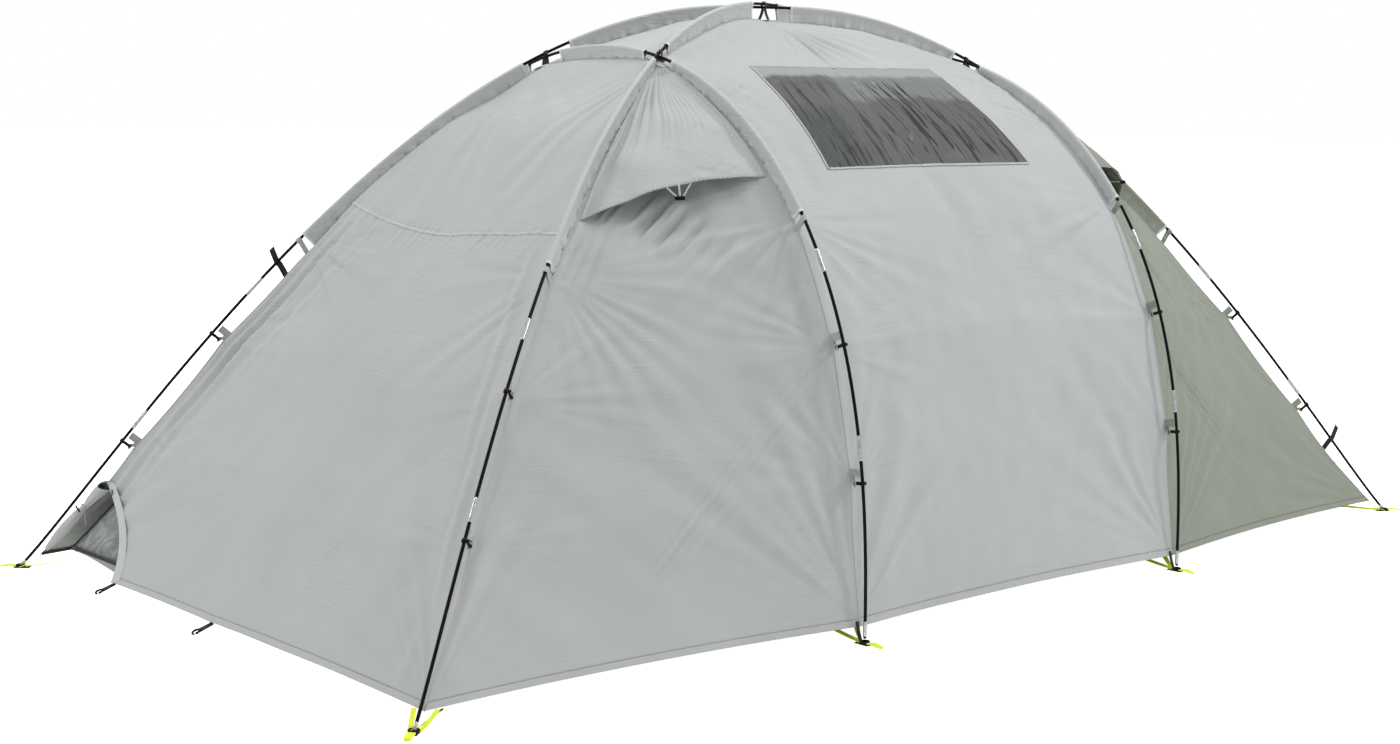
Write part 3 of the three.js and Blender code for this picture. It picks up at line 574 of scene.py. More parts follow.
CAMERA = {
    "at": (-4.8809, -5.2367, 1.5554), "azimuth": 41.357, "down": 7.917, "roll": 0.662,
    "lens": 54.55, "shift": (0.0011, 0.0020),
}


def put(name, data, at, right, up, back):
    """Adds a camera or a light that faces away from back."""
    turned = np.eye(4)
    turned[:3] = np.stack([right, up, back, at], -1)
    thing = bpy.data.objects.new(name, data)
    thing.matrix_world = Matrix(turned.tolist())
    bpy.context.scene.collection.objects.link(thing)
    return thing


def add_camera():
    data = bpy.data.cameras.new("camera")
    data.sensor_width = 36.0
    data.lens = CAMERA["lens"]
    data.shift_x, data.shift_y = CAMERA["shift"]
    data.clip_end = 200
    azimuth, down, roll = (math.radians(CAMERA[key]) for key in ("azimuth", "down", "roll"))
    level = math.cos(down)
    forward = np.array([math.sin(azimuth) * level, math.cos(azimuth) * level, -math.sin(down)])
    right = np.array([math.cos(azimuth), -math.sin(azimuth), 0.0])
    up = np.cross(right, forward)
    x_axis = math.cos(roll) * right + math.sin(roll) * up
    y_axis = math.cos(roll) * up - math.sin(roll) * right
    bpy.context.scene.camera = put("camera", data, CAMERA["at"], x_axis, y_axis, -forward)


add_camera()

# ---------- Poles ----------


def arch(share, power, finish):
    return np.clip(1 - np.abs(share) ** power, 0, 1) ** finish


class Pole:
    """A bent pole. Its share runs from -1 at one foot to 1 at the other."""

    def __init__(self, name, kind, side):
        self.name, self.kind, self.side = name, kind, side
        straight = (LENGTH, side * END_WIDTH, 0) if kind == "diagonal" else (0.0, 1.0, 0.0)
        self.across = np.cross(UP, unit(np.array(straight)))
        shares = np.linspace(0.9, 1, 4001)
        self.end = float(np.interp(-POLE_END_HEIGHT, -self.point(shares)[:, 2], shares))
        self.shares = np.linspace(self.end, -self.end, 4001)
        steps = np.linalg.norm(np.diff(self.point(self.shares), axis=0), axis=1)
        self.lengths = np.concatenate([[0], np.cumsum(steps)])
        self.total = float(self.lengths[-1])

    def point(self, share):
        share = np.asarray(share, float)
        if self.kind == "diagonal":
            height = arch(share, DIAGONAL_SHAPE["power"], DIAGONAL_SHAPE["finish"])
            x = LENGTH / 2 * share
            dip = CROSSING_STEP * np.exp(-((x / DIAGONAL_DIP) ** 2)) if self.side < 0 else 0
            y = self.side * (END_WIDTH / 2 * share - DIAGONAL_SHAPE["bow"] * np.sin(np.pi * share))
            return np.stack([x, y, APEX_HEIGHT * height - dip], -1)
        height = arch(share, HOOP_SHAPE["power"], HOOP_SHAPE["finish"])
        lean = (HOOP_CROWN_X - HOOP_X) * height ** HOOP_SHAPE["lean"]
        return np.stack(
            [self.side * (HOOP_X + lean), HOOP_WIDTH / 2 * share, HOOP_HEIGHT * height], -1
        )

    def tangent(self, share):
        share = np.clip(share, -0.999, 0.999)
        return unit(self.point(share + 1e-4) - self.point(share - 1e-4))

    def inward(self, share):
        return -unit(np.cross(self.tangent(share), self.across))

    def share_at(self, arc):
        """The share at a length along the pole, from the foot where the share is positive."""
        return np.interp(arc, self.lengths, self.shares)

    def cloth(self, share):
        """The place of the cloth under the pole."""
        places = self.point(share)
        return places + self.inward(share) * standoff(places, self.kind)[..., None]


POLES = {
    "diagonal_1": Pole("diagonal_1", "diagonal", 1),
    "diagonal_2": Pole("diagonal_2", "diagonal", -1),
    "hoop_left": Pole("hoop_left", "hoop", -1),
    "hoop_right": Pole("hoop_right", "hoop", 1),
}
CROSS_Y, CROSS_HEIGHT = np.abs(POLES["diagonal_1"].point(HOOP_CROWN_X / (LENGTH / 2)))[1:].tolist()


def standoff(places, kind):
    """The distance from a pole to the cloth. The cloth is closer to the hoops' upper parts and
    along the far sleeves of the long poles, and closest where poles cross."""
    height = places[..., 2]
    rise = np.clip(height / STANDOFF_RISE, 0, 1)
    gap = FOOT_STANDOFF + (STANDOFF - FOOT_STANDOFF) * np.sin(np.pi / 2 * rise)
    if kind == "hoop":
        gap = gap * (1 - HOOP_DRAW["share"] * ramp(*HOOP_DRAW["rise"], height))
    else:
        draw = FAR_SLEEVE_DRAW
        along = ramp(*draw["rise"], height) * (1 - ramp(*draw["fall"], height))
        gap = gap * (1 - draw["share"] * along * ramp(*draw["beyond"], places[..., 1]))
    for sx, sy, _ in CORNERS:
        apart = np.linalg.norm(places - [sx * HOOP_CROWN_X, sy * CROSS_Y, CROSS_HEIGHT], axis=-1)
        gap = gap * (1 - CROSSING_DRAW[sy] * np.exp(-((apart / CROSSING_REACH) ** 2)))
    return gap


class Leg:
    """A pole's run up from one foot. Its arc is the length from that foot."""

    def __init__(self, kind, sx, sy):
        hoop = "hoop_left" if sx < 0 else "hoop_right"
        self.pole = POLES[hoop if kind == "hoop" else "diagonal_1" if sx == sy else "diagonal_2"]
        self.kind, self.sx, self.sy = kind, sx, sy
        self.sign = sy if kind == "hoop" else sx
        self.half = self.pole.total / 2
        arcs = np.linspace(0.01, self.half, 4001)
        seam = self.seam(arcs)
        lowest = arcs < 0.4
        self.low = float(np.interp(HEM_HEIGHT[kind], seam[lowest, 2], arcs[lowest]))
        axis, reach = (0, HOOP_CROWN_X) if kind == "diagonal" else (1, CROSS_Y)
        self.high = float(np.interp(-reach, -np.abs(seam[:, axis]), arcs))
        pole = np.abs(self.point(arcs)[:, axis])
        self.cross = float(np.interp(-reach, -pole, arcs))

    def share(self, arc):
        return self.sign * self.pole.share_at(arc)

    def point(self, arc):
        return self.pole.point(self.share(arc))

    def inward(self, arc):
        return self.pole.inward(self.share(arc))

    def tangent(self, arc):
        """Along the pole, up from the foot."""
        return -self.sign * self.pole.tangent(self.share(arc))

    def gap(self, arc):
        """The distance from the pole to the seam. It sags between the points that hold it."""
        arc = np.asarray(arc, float)
        stops = [0.0, *HOOK_ARC[self.kind], SLEEVE_END[self.kind]]
        sag = np.zeros_like(arc)
        for start, stop in zip(stops[:-1], stops[1:]):
            share = np.clip((arc - start) / (stop - start), 0, 1)
            inside = (arc >= start) & (arc <= stop)
            sag = np.where(inside, SCALLOP["sag"] * 4 * share * (1 - share) - SCALLOP["near"], sag)
        fade = ramp(0.12, 0.4, arc) * (1 - ramp(SLEEVE_END[self.kind] - 0.12, stops[-1], arc))
        return standoff(self.point(arc), self.kind) + sag * fade

    def seam(self, arc):
        return self.point(arc) + self.inward(arc) * self.gap(arc)[..., None]


LEGS = {(kind, sx, sy): Leg(kind, sx, sy) for kind in HOOK_ARC for sx, sy, _ in CORNERS}


def add_pole(pole):
    """The rod, with bright ferrules over its joints and a bright tip at each end."""
    shape = Shape()

    def tube(arcs, radii, look):
        shares = pole.share_at(arcs)
        section = sized(circle(1.0, 14), radii)
        shape.sweep(pole.point(shares), pole.across, -pole.inward(shares), section, look)

    tube(np.linspace(0, pole.total, 420), np.full(420, POLE_RADIUS), 0)
    collars = []
    for start, stop in FERRULES[pole.kind]:
        collars += [(start, stop), (pole.total - stop, pole.total - start)]
    collars.append([pole.total / 2 - before for before in MIDDLE_FERRULE])
    for start, stop in collars:
        straight = np.linspace(start + 0.004, stop - 0.004, 5)
        radii = POLE_RADIUS + np.array([0.0002, *[0.0009] * 7, 0.0002])
        tube(np.array([start, start + 0.001, *straight, stop - 0.001, stop]), radii, 1)
    tip = np.array([0.0, 0.002, 0.022, 0.024])
    for arcs in (tip, pole.total - tip):
        tube(arcs, np.array([0.8, 1.18, 1.18, 1.02]) * POLE_RADIUS, 1)
    piece = shape.make(f"{pole.name}_rod", [POLE, METAL], "pole")
    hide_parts(f"pole_{pole.name}")


for pole in POLES.values():
    add_pole(pole)

# ---------- Seams ----------

SEAM_STEPS = 241
MEET = 0.14  # over this length two seams draw together where they cross


def crossing_point(sx, sy):
    diagonal, hoop = LEGS["diagonal", sx, sy], LEGS["hoop", sx, sy]
    return (diagonal.seam(diagonal.high) + hoop.seam(hoop.high)) / 2


CROSSINGS = {(sx, sy): crossing_point(sx, sy) for sx, sy, _ in CORNERS}
APEX = sum(LEGS["diagonal", -1, sy].seam(LEGS["diagonal", -1, sy].half) for sy in (-1, 1)) / 2


def drawn(points, arcs, first=None, last=None):
    """Moves the ends of a seam to the given points, with the rest fading in."""
    points = points.copy()
    if first is not None:
        points += (first - points[0]) * (1 - ramp(arcs[0], arcs[0] + MEET, arcs))[:, None]
    if last is not None:
        points += (last - points[-1]) * ramp(arcs[-1] - MEET, arcs[-1], arcs)[:, None]
    return points


def leg_seam(kind, sx, sy):
    leg = LEGS[kind, sx, sy]
    arcs = np.linspace(leg.low, leg.high, SEAM_STEPS)
    return drawn(leg.seam(arcs), arcs, last=CROSSINGS[sx, sy])


def roof_seam(sx, sy):
    leg = LEGS["diagonal", sx, sy]
    arcs = np.linspace(leg.high, leg.half, SEAM_STEPS)
    return drawn(leg.seam(arcs), arcs, CROSSINGS[sx, sy], APEX)


def crown_seam(sx):
    leg = LEGS["hoop", sx, -1]
    arcs = np.linspace(leg.high, leg.pole.total - leg.high, SEAM_STEPS)
    return drawn(leg.pole.cloth(leg.share(arcs)), arcs, CROSSINGS[sx, -1], CROSSINGS[sx, 1])


def hem(start, stop, inset, holds=()):
    """A lower edge. It draws in between its ends, and a little between the points that hold it."""
    share = np.linspace(0, 1, SEAM_STEPS)[:, None]
    points = start + (stop - start) * share + np.array(inset) * 4 * share * (1 - share)
    stops = [0.0, *sorted(holds), 1.0]
    for first, second in zip(stops[:-1], stops[1:]):
        part = np.clip((share - first) / (second - first), 0, 1)
        lift = np.array([*np.array(inset[:2]) * 0.6, 0.006]) * (second - first)
        points = points + lift * 4 * part * (1 - part)
    return points


class Panel:
    """The smooth surface inside four edges. u runs along the hem and v up from it."""

    def __init__(self, bottom, top, left, right):
        self.edges = [bottom, top, left, right]
        self.bottom, self.top, self.left, self.right = (curve(edge) for edge in self.edges)
        self.corners = bottom[0], bottom[-1], top[0], top[-1]
        middle, outward = self.normals(np.array(0.5), np.array(0.5), False)
        self.flip = -1 if outward @ np.array([*middle[:2], 0.4]) < 0 else 1
        self.height = (length_of(left) + length_of(right)) / 2
        self.width = max(length_of(bottom), length_of(top))

    def __call__(self, u, v):
        u, v = np.broadcast_arrays(np.asarray(u, float), np.asarray(v, float))
        share, up = u[..., None], v[..., None]
        a, b, c, d = self.corners
        low = self.bottom(u) - (a * (1 - share) + b * share)
        high = self.top(u) - (c * (1 - share) + d * share)
        across = self.left(v) * (1 - share) + self.right(v) * share
        return across + low * (1 - up) + high * up**TOP_FADE

    def normals(self, u, v, turned=True):
        """The points, and their outward directions."""
        step = 2e-3
        u, v = np.broadcast_arrays(np.asarray(u, float), np.asarray(v, float))
        u0, u1 = np.clip(u - step, 0, 1), np.clip(u + step, 0, 1)
        v0, v1 = np.clip(v - step, 0, 1), np.clip(v + step, 0, 1)
        outward = np.cross(self(u1, v) - self(u0, v), self(u, v1) - self(u, v0))
        return self(u, v), unit(outward) * (self.flip if turned else 1)


def side_panel(sx, sy):
    corner, hoop = leg_seam("diagonal", sx, sy), leg_seam("hoop", sx, sy)
    low = hem(corner[0], hoop[0], (0, -sy * HEM_INSET, 0))
    tip = np.repeat(CROSSINGS[sx, sy][None], 3, axis=0)
    return Panel(low, tip, corner, hoop)


def middle_panel(sy):
    left, right = leg_seam("hoop", -1, sy), leg_seam("hoop", 1, sy)
    low = hem(left[0], right[0], (0, -sy * HEM_INSET, 0))
    top = np.concatenate([roof_seam(-1, sy), roof_seam(1, sy)[::-1][1:]])
    return Panel(low, top, left, right)


def roof_panel(sx):
    tip = np.repeat(APEX[None], 3, axis=0)
    return Panel(crown_seam(sx), tip, roof_seam(sx, -1), roof_seam(sx, 1))


def end_hem(sx, holds=()):
    near, far = leg_seam("diagonal", sx, -1)[0], leg_seam("diagonal", sx, 1)[0]
    return hem(near, far, (-sx * HEM_INSET, 0, 0), holds)


def end_panel(sx):
    near, far = leg_seam("diagonal", sx, -1), leg_seam("diagonal", sx, 1)
    return Panel(end_hem(sx), crown_seam(sx), near, far)


def door_panel():
    """The left end, cut short at its far bottom corner, where its zip is open. Returns the panel,
    its free edge from the hem up, and the share of the right edge that is free."""
    near, far = leg_seam("diagonal", -1, -1), leg_seam("diagonal", -1, 1)
    whole = end_hem(-1, [(near[0][1] - y) / (near[0][1] - far[0][1]) for y in PEG_LOOPS])
    low = whole[: int(DOOR["hem"] * (SEAM_STEPS - 1)) + 1]
    above = far[far[:, 2] > DOOR["height"]]
    share = np.linspace(0, 1, 41)[:, None]
    bulge = np.array([0.012, -0.045, 0.0]) * 4 * share * (1 - share)
    free = low[-1] * (1 - share) + above[0] * share + bulge
    right = np.concatenate([free, above[1:]])
    panel = Panel(low, crown_seam(-1), near, right)
    return panel, free, length_of(free) / length_of(right)


# ---------- Folds in the fly ----------


def fan(points, outward, origin, toward, reach, slope, folds, seed, spread=0.8):
    """Folds that run out from a point that pulls on the cloth. They widen with distance."""
    axis = unit(toward - origin)
    offset = points - origin
    aside = np.cross(outward, axis)
    angle = np.arctan2((offset * aside).sum(-1), (offset * axis).sum(-1))
    distance = np.linalg.norm(offset, axis=-1)
    fade = np.exp(-((distance / reach) ** 2)) * np.exp(-((angle / spread) ** 2))
    return slope * distance * fade * waves(angle, seed, folds * 0.5, folds * 1.5)


def streaks(points, outward, origin, way, long, wide, pitch, height, seed):
    """Nearly parallel folds in one part of the cloth."""
    axis = unit(np.array(way, float))
    offset = points - origin
    aside = unit(np.cross(outward, axis))
    x, y = (offset * axis).sum(-1), (offset * aside).sum(-1)
    fade = np.exp(-((x / long) ** 4) - (y / wide) ** 2)
    return height * fade * waves(y * 2 * np.pi / pitch + 0.6 * np.sin(x / long), seed, 0.6, 1.5)


def fine_lines(cells, extras):
    """Even grid lines from 0 to 1, with extra ones."""
    lines = np.concatenate([np.linspace(0, 1, cells + 1), np.clip(extras, 0, 1)])
    return np.unique(np.round(lines, 6))


HEM_BAND = 0.022  # the height of the double cloth along the hem
SEAM_EASE = 0.03  # folds fade out this close to a seam
SMALLEST_CUT = 0.301  # a panel's cut area is at least this share of its flat size


def anchors(panel_legs, centre):
    """Where the poles' fittings pull on the cloth, as the arguments of fan."""
    found = []
    for leg in panel_legs:
        found.append((leg.seam(leg.low + 0.01), 0.5, 0.02, 26))
        for arc in HOOK_ARC[leg.kind]:
            found.append((leg.seam(arc), 0.3, 0.015, 22))
        found.append((leg.seam(SLEEVE_END[leg.kind]), 0.34, 0.021, 24))
        found.append((CROSSINGS[leg.sx, leg.sy], 0.45, 0.022, 26))
    return [(place, centre, reach, slope, folds) for place, reach, slope, folds in found]


def add_panel(
    node, panel, legs, cells, seed, folds=None, cloth=(FLY, "fly"), hemmed=True, keep=None
):
    """Makes one panel of the fly, with its folds and hem, and works out the size of its cut. cloth
    is its material and slot, and keep says which cells aren't cut out."""
    edge = np.array([0.004, 0.012, 0.022, 0.034])
    us = fine_lines(cells[0], np.concatenate([edge, panel.width - edge]) / panel.width)
    band = HEM_BAND + np.array([-0.02, -0.005, -0.0025, 0.0, 0.0025, 0.005])
    vs = fine_lines(cells[1], band / panel.height if hemmed else [])
    u, v = us[:, None], vs[None]
    points, outward = panel.normals(u, v)
    width = np.linalg.norm(panel.left(vs) - panel.right(vs), axis=-1)[None]
    side = np.minimum(u, 1 - u) * width
    above = v * panel.height
    ease = ramp(0.002, SEAM_EASE, side) * ramp(0, SEAM_EASE, (1 - v) * panel.height)
    if hemmed:
        ease = ease * (0.35 + 0.65 * ramp(0, 0.08, above))
    lift = 0.0045 * swell(points, seed, 0.5) + 0.0018 * swell(points, seed + 1, 0.14)
    for index, pull in enumerate(anchors(legs, panel(0.5, 0.45))):
        lift = lift + fan(points, outward, *pull, seed + 7 * index)
    if folds:
        lift = lift + folds(points, outward)
    pucker = waves(above, seed + 90, 80, 190) * np.exp(-side / 0.028) * 0.0011
    lift = (lift + pucker) * ease
    if keep is not None:
        lift = lift * (1 - 0.85 * near_window(points))
    if hemmed:
        double = 1 - ramp(HEM_BAND - 0.001, HEM_BAND + 0.001, above)
        groove = np.exp(-(((above - HEM_BAND) / 0.0016) ** 2))
        lift = lift + 0.0022 * double - 0.004 * groove
    points = points + outward * lift[..., None]
    places = paired(u * panel.width, above)
    SURFACES[node] = us, vs, points, outward
    shape = Shape()
    if keep is not None:
        keep = keep((points[:-1, :-1] + points[1:, 1:]) / 2)
    shape.sheet(points, places, keep=keep)
    look, slot = cloth
    piece = thicken(shape.make(f"{node}_cloth", [look], slot))
    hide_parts(node)
    steps = np.linspace(0, 1, 40)
    area = area_of(panel(steps[:, None], steps[None]))
    if keep is not None:
        area *= float(keep.mean())
    flat = (round(panel.width, 3), round(max(panel.height, area / panel.width * 1.001), 3))
    area = max(area, SMALLEST_CUT * flat[0] * flat[1])


def on_cloth(node, u, v, off=0.0):
    """Points on a finished panel, folds included, and the ways out of the tent there."""
    us, vs, points, outward = SURFACES[node]
    u, v = np.broadcast_arrays(np.clip(u, 0, 1), np.clip(v, 0, 1))
    row = np.clip(np.searchsorted(us, u, "right") - 1, 0, len(us) - 2)
    column = np.clip(np.searchsorted(vs, v, "right") - 1, 0, len(vs) - 2)
    a = ((u - us[row]) / (us[row + 1] - us[row]))[..., None]
    b = ((v - vs[column]) / (vs[column + 1] - vs[column]))[..., None]
    found = []
    for grid in (points, outward):
        low = grid[row, column] * (1 - a) + grid[row + 1, column] * a
        high = grid[row, column + 1] * (1 - a) + grid[row + 1, column + 1] * a
        found.append(low * (1 - b) + high * b)
    return found[0] + found[1] * off, unit(found[1])


PANELS, SURFACES = {}, {}


def apex_folds(sy):
    def folds(points, outward):
        below = np.array([0.0, sy * 1.2, 0.9])
        total = fan(points, outward, APEX, below, 0.6, 0.034, 34, 301 + sy, 1.4)
        for sx in (-1, 1):
            place, away = (sx * 0.5, sy * 0.5, 1.6), (sx * 0.7, sy * 0.3, -0.25)
            row = (place, away, 0.34, 0.12, 0.04, 0.0026, 311 + sx)
            total = total + streaks(points, outward, *row)
        return total
    return folds


def side_folds(sx, sy):
    def folds(points, outward):
        sleeve = LEGS["diagonal", sx, sy].seam(SLEEVE_END["diagonal"])
        below = np.array([-sx * 0.55, -sy * 0.5, 0.75])
        total = fan(points, outward, sleeve, sleeve + below, 0.2, 0.05, 15, 401 + sx, 0.7)
        panel = PANELS["side", sx, sy]
        hood, slant = panel(0.4, 0.64), (sx * 0.8, sy * 0.2, -0.55)
        edge, down = panel(0.07, 0.6), (sx * 0.45, sy * 0.2, -0.6)
        hook, away = LEGS["hoop", sx, sy].seam(HOOK_ARC["hoop"][1]), np.array([sx * 0.6, 0.0, -0.55])
        rows = (
            (hood, slant, 0.08, 0.3, 0.075, 0.009, 411 + sy),
            (hood, slant, 0.08, 0.3, 0.034, 0.003, 413 + sy),
            (edge, down, 0.13, 0.06, 0.055, 0.007, 415 + sy),
            (hook + away * 0.3, away, 0.3, 0.06, 0.03, 0.002, 421 + sx),
            (hook + away * 0.75, away, 0.3, 0.08, 0.036, 0.002, 431 + sx),
        )
        return total + sum(streaks(points, outward, *row) for row in rows)
    return folds


def end_folds(sx):
    def folds(points, outward):
        total = 0
        for sy in (-1, 1):
            leg = LEGS["diagonal", sx, sy]
            sleeve = leg.seam(SLEEVE_END["diagonal"] - 0.05)
            down = -leg.tangent(0.9)
            inside = sleeve + np.array([0.0, -sy * 0.1, 0.0]) + down * 0.18
            foot = leg.seam(0.2) + np.array([0.0, -sy * 0.12, 0.0])
            wide, high = (0.1, 0.016) if sy > 0 else (0.05, 0.005)
            rows = (
                (inside, down, 0.34, wide, 0.07, high, 501 + sy),
                (inside + down * 0.45, down, 0.4, wide * 0.7, 0.07, high * 0.5, 505 + sy),
                (foot, down, 0.16, 0.05, 0.06, 0.0035, 511 + sy),
            )
            total = total + sum(streaks(points, outward, *row) for row in rows)
        height = points[..., 2]
        seam = 1.11 + 0.13 * np.abs(points[..., 1]) ** 2
        near = np.exp(-np.clip(seam - height, 0, 1) / 0.06) * (height < seam)
        total = total + 0.002 * near * waves(points[..., 1] + height * 0.35, 521, 90, 230)
        return total
    return folds


def near_window(points):
    """1 on and close to a window, where the film holds the cloth flat, and 0 away from it."""
    middle = (WINDOW["bottom"] + WINDOW["top"]) / 2
    above = np.abs(points[..., 2] - middle) - (WINDOW["top"] - WINDOW["bottom"]) / 2
    aside = np.abs(points[..., 0]) - (WINDOW["bottom_half"] + WINDOW["top_half"]) / 2
    return ramp(0.09, 0.0, above) * ramp(0.14, 0.03, aside)


def window_half(share):
    """Half the window's width, at a share of its height."""
    return WINDOW["bottom_half"] + (WINDOW["top_half"] - WINDOW["bottom_half"]) * share


def outside_window(middle):
    """Keeps the cells of a middle panel that aren't well inside its window."""
    height = (middle[..., 2] - WINDOW["bottom"]) / (WINDOW["top"] - WINDOW["bottom"])
    aside = np.abs(middle[..., 0])
    return ~((height > 0.04) & (height < 0.96) & (aside < window_half(height) - 0.012))


def add_fly():
    for sx, sy, corner in CORNERS:
        panel = PANELS["side", sx, sy] = side_panel(sx, sy)
        legs = [LEGS["diagonal", sx, sy], LEGS["hoop", sx, sy]]
        cloth, seed = fly_cloth(sx, sy), 11 + sx + 3 * sy
        add_panel(f"fly_{corner}", panel, legs, (160, 230), seed, side_folds(sx, sy), cloth)
    for sy, side in SIDES:
        panel = PANELS["middle", sy] = middle_panel(sy)
        legs = [LEGS["hoop", -1, sy], LEGS["hoop", 1, sy]]
        keep = outside_window
        add_panel(f"fly_{side}_middle", panel, legs, (220, 250), 31 + sy, apex_folds(sy), keep=keep)
    for sx, end in ENDS:
        panel = PANELS["roof", sx] = roof_panel(sx)
        add_panel(f"fly_roof_{end}", panel, [], (60, 80), 41 + sx, hemmed=False)
    PANELS["end", 1] = end_panel(1)
    PANELS["end", -1], _, _ = door_panel()
    for sx, end in ENDS:
        legs = [LEGS["diagonal", sx, -1], LEGS["diagonal", sx, 1]]
        add_panel(f"fly_end_{end}", PANELS["end", sx], legs, (220, 230), 51 + sx, end_folds(sx))


add_fly()

# ---------- Sleeves and seams ----------

SLEEVE_RADIUS = 0.0066
SLEEVE_NECK = 0.011  # the flat part starts this far from the pole's middle
LEVEL_SEAM = 0.637  # the middle of the seam across an end panel, as a share of the panel's height


def sleeve_section(base, grow, sway):
    """Round the pole, then flat and double down to the seam. sway moves the flat part aside."""
    angles = np.radians(np.linspace(-118, 118, 13))
    radius = SLEEVE_RADIUS + grow
    nose = np.stack([radius * np.sin(angles), -radius * np.cos(angles)], -1)
    depths = SLEEVE_NECK + (base - SLEEVE_NECK) * np.array([0.03, 0.2, 0.4, 0.62, 0.82, 1])
    halves = np.array([0.0032, 0.0016, 0.0012, 0.0011, 0.001, 0.0009]) + grow
    aside = sway * ramp(SLEEVE_NECK, base, depths)
    right = np.stack([halves + aside, depths], -1)
    left = np.stack([aside - halves, depths], -1)
    return np.concatenate([nose, right, left[::-1]])


def sleeve_runs(pole):
    """Where each sleeve starts and stops, along the pole from its positive foot."""
    legs = [leg for leg in LEGS.values() if leg.pole is pole]
    first, last = sorted(legs, key=lambda leg: -leg.sign)
    gaps = [SLEEVE_GAP[pole.kind][leg.sy] for leg in (first, last)]
    end, total = SLEEVE_END[pole.kind], pole.total
    stops = [end, first.cross - gaps[0], first.cross + gaps[0]]
    if pole.kind == "diagonal":
        stops += [first.half - SLEEVE_GAP["apex"], first.half + SLEEVE_GAP["apex"]]
    stops += [total - last.cross - gaps[1], total - last.cross + gaps[1], total - end]
    return list(zip(stops[::2], stops[1::2]))


def add_sleeve(pole, number, start, stop):
    """A tunnel of double cloth from the pole to the seam, with binding round both mouths."""
    shape = Shape()

    def run(arcs, grow, look):
        shares = pole.share_at(arcs)
        places = pole.point(shares)
        bases = standoff(places, pole.kind) + 0.002
        seed = 601 + 10 * number + len(pole.name) + pole.side
        sway = 0.0026 * waves(arcs, seed, 40, 150) + 0.0022 * waves(arcs, seed + 5, 160, 320)
        section = np.array([sleeve_section(base, grow, aside) for base, aside in zip(bases, sway)])
        shape.sweep(places, pole.across, pole.inward(shares), section, look, caps=False)

    run(np.linspace(start, stop, int((stop - start) / 0.007)), 0.0, 0)
    for edge, turn in ((start, 1), (stop, -1)):
        run(edge + turn * np.array([-0.0008, 0.0, 0.004, 0.008, 0.0088]), 0.0009, 1)
    beside_sage = pole.name == "diagonal_2" and number == 1
    # The sleeves take the lightened cloth, painted light on their shaded sides.
    look, slot = (SLEEVE_SAGE_LIGHTENED, "fly_sage") if beside_sage else (SLEEVE_LIGHTENED, "sleeve")
    piece = thicken(shape.make(f"{pole.name}_sleeve_{number}", [look, BINDING], slot), 0.0006)
    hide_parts(f"sleeve_{pole.name}")


def seam_tape(shape, path, across):
    tangent = direction(path)
    side = unit(np.cross(tangent, np.cross(np.broadcast_to(across, path.shape), tangent)))
    shape.sweep(path, side, np.cross(tangent, side), rounded(0.005, 0.0026, 0.0011, 2))


def flat_band(shape, path, outward, lift, section):
    """A band that lies on cloth, lifted off it."""
    aside = unit(np.cross(direction(path), outward))
    shape.sweep(path + outward * lift, aside, outward, section)


def add_seams():
    """Tape along each seam under a pole, and a level seam across each end panel."""
    for (kind, sx, sy), leg in LEGS.items():
        shape = Shape()
        seam_tape(shape, leg_seam(kind, sx, sy), leg.pole.across)
        if kind == "diagonal":
            seam_tape(shape, roof_seam(sx, sy), leg.pole.across)
        elif sy < 0:
            seam_tape(shape, crown_seam(sx), leg.pole.across)
        shape.make(f"seam_{CORNER_NAMES[sx, sy]}_{kind}", [FLY], "fly")
    for sx, end in ENDS:
        u = np.linspace(0, 1, 200)
        across = u if sx < 0 else 1 - u
        seam = LEVEL_SEAM + (0.012 + 0.036 * (u > 0.5)) * np.abs(2 * u - 1) ** 1.6
        points, outward = on_cloth(f"fly_end_{end}", across, seam, 0.0012)
        shape = Shape()
        flat_band(shape, points, outward, 0.0, rounded(0.009, 0.0032, 0.0014, 2))
        # The level seam is drawn in the lightened sleeve cloth, a painted highlight along it.
        shape.make(f"level_seam_{end}", [SLEEVE_LIGHTENED], "fly")


for pole in POLES.values():
    for number, (start, stop) in enumerate(sleeve_runs(pole), 1):
        add_sleeve(pole, number, start, stop)
add_seams()

# ---------- Windows ----------


def window_place(panel, x, z):
    """The (u, v) on a middle panel that lies at each x and z."""
    u, v = 0.5 + x / (2 * HOOP_X), 0.62 + (z - 1.2) * 0.45
    for _ in range(12):
        here = panel(u, v)
        across, above = panel(u + 1e-3, v) - here, panel(u, v + 1e-3) - here
        miss_x, miss_z = x - here[..., 0], z - here[..., 2]
        scale = across[..., 0] * above[..., 2] - above[..., 0] * across[..., 2]
        u = u + 1e-3 * (miss_x * above[..., 2] - miss_z * above[..., 0]) / scale
        v = v + 1e-3 * (miss_z * across[..., 0] - miss_x * across[..., 2]) / scale
    return u, v


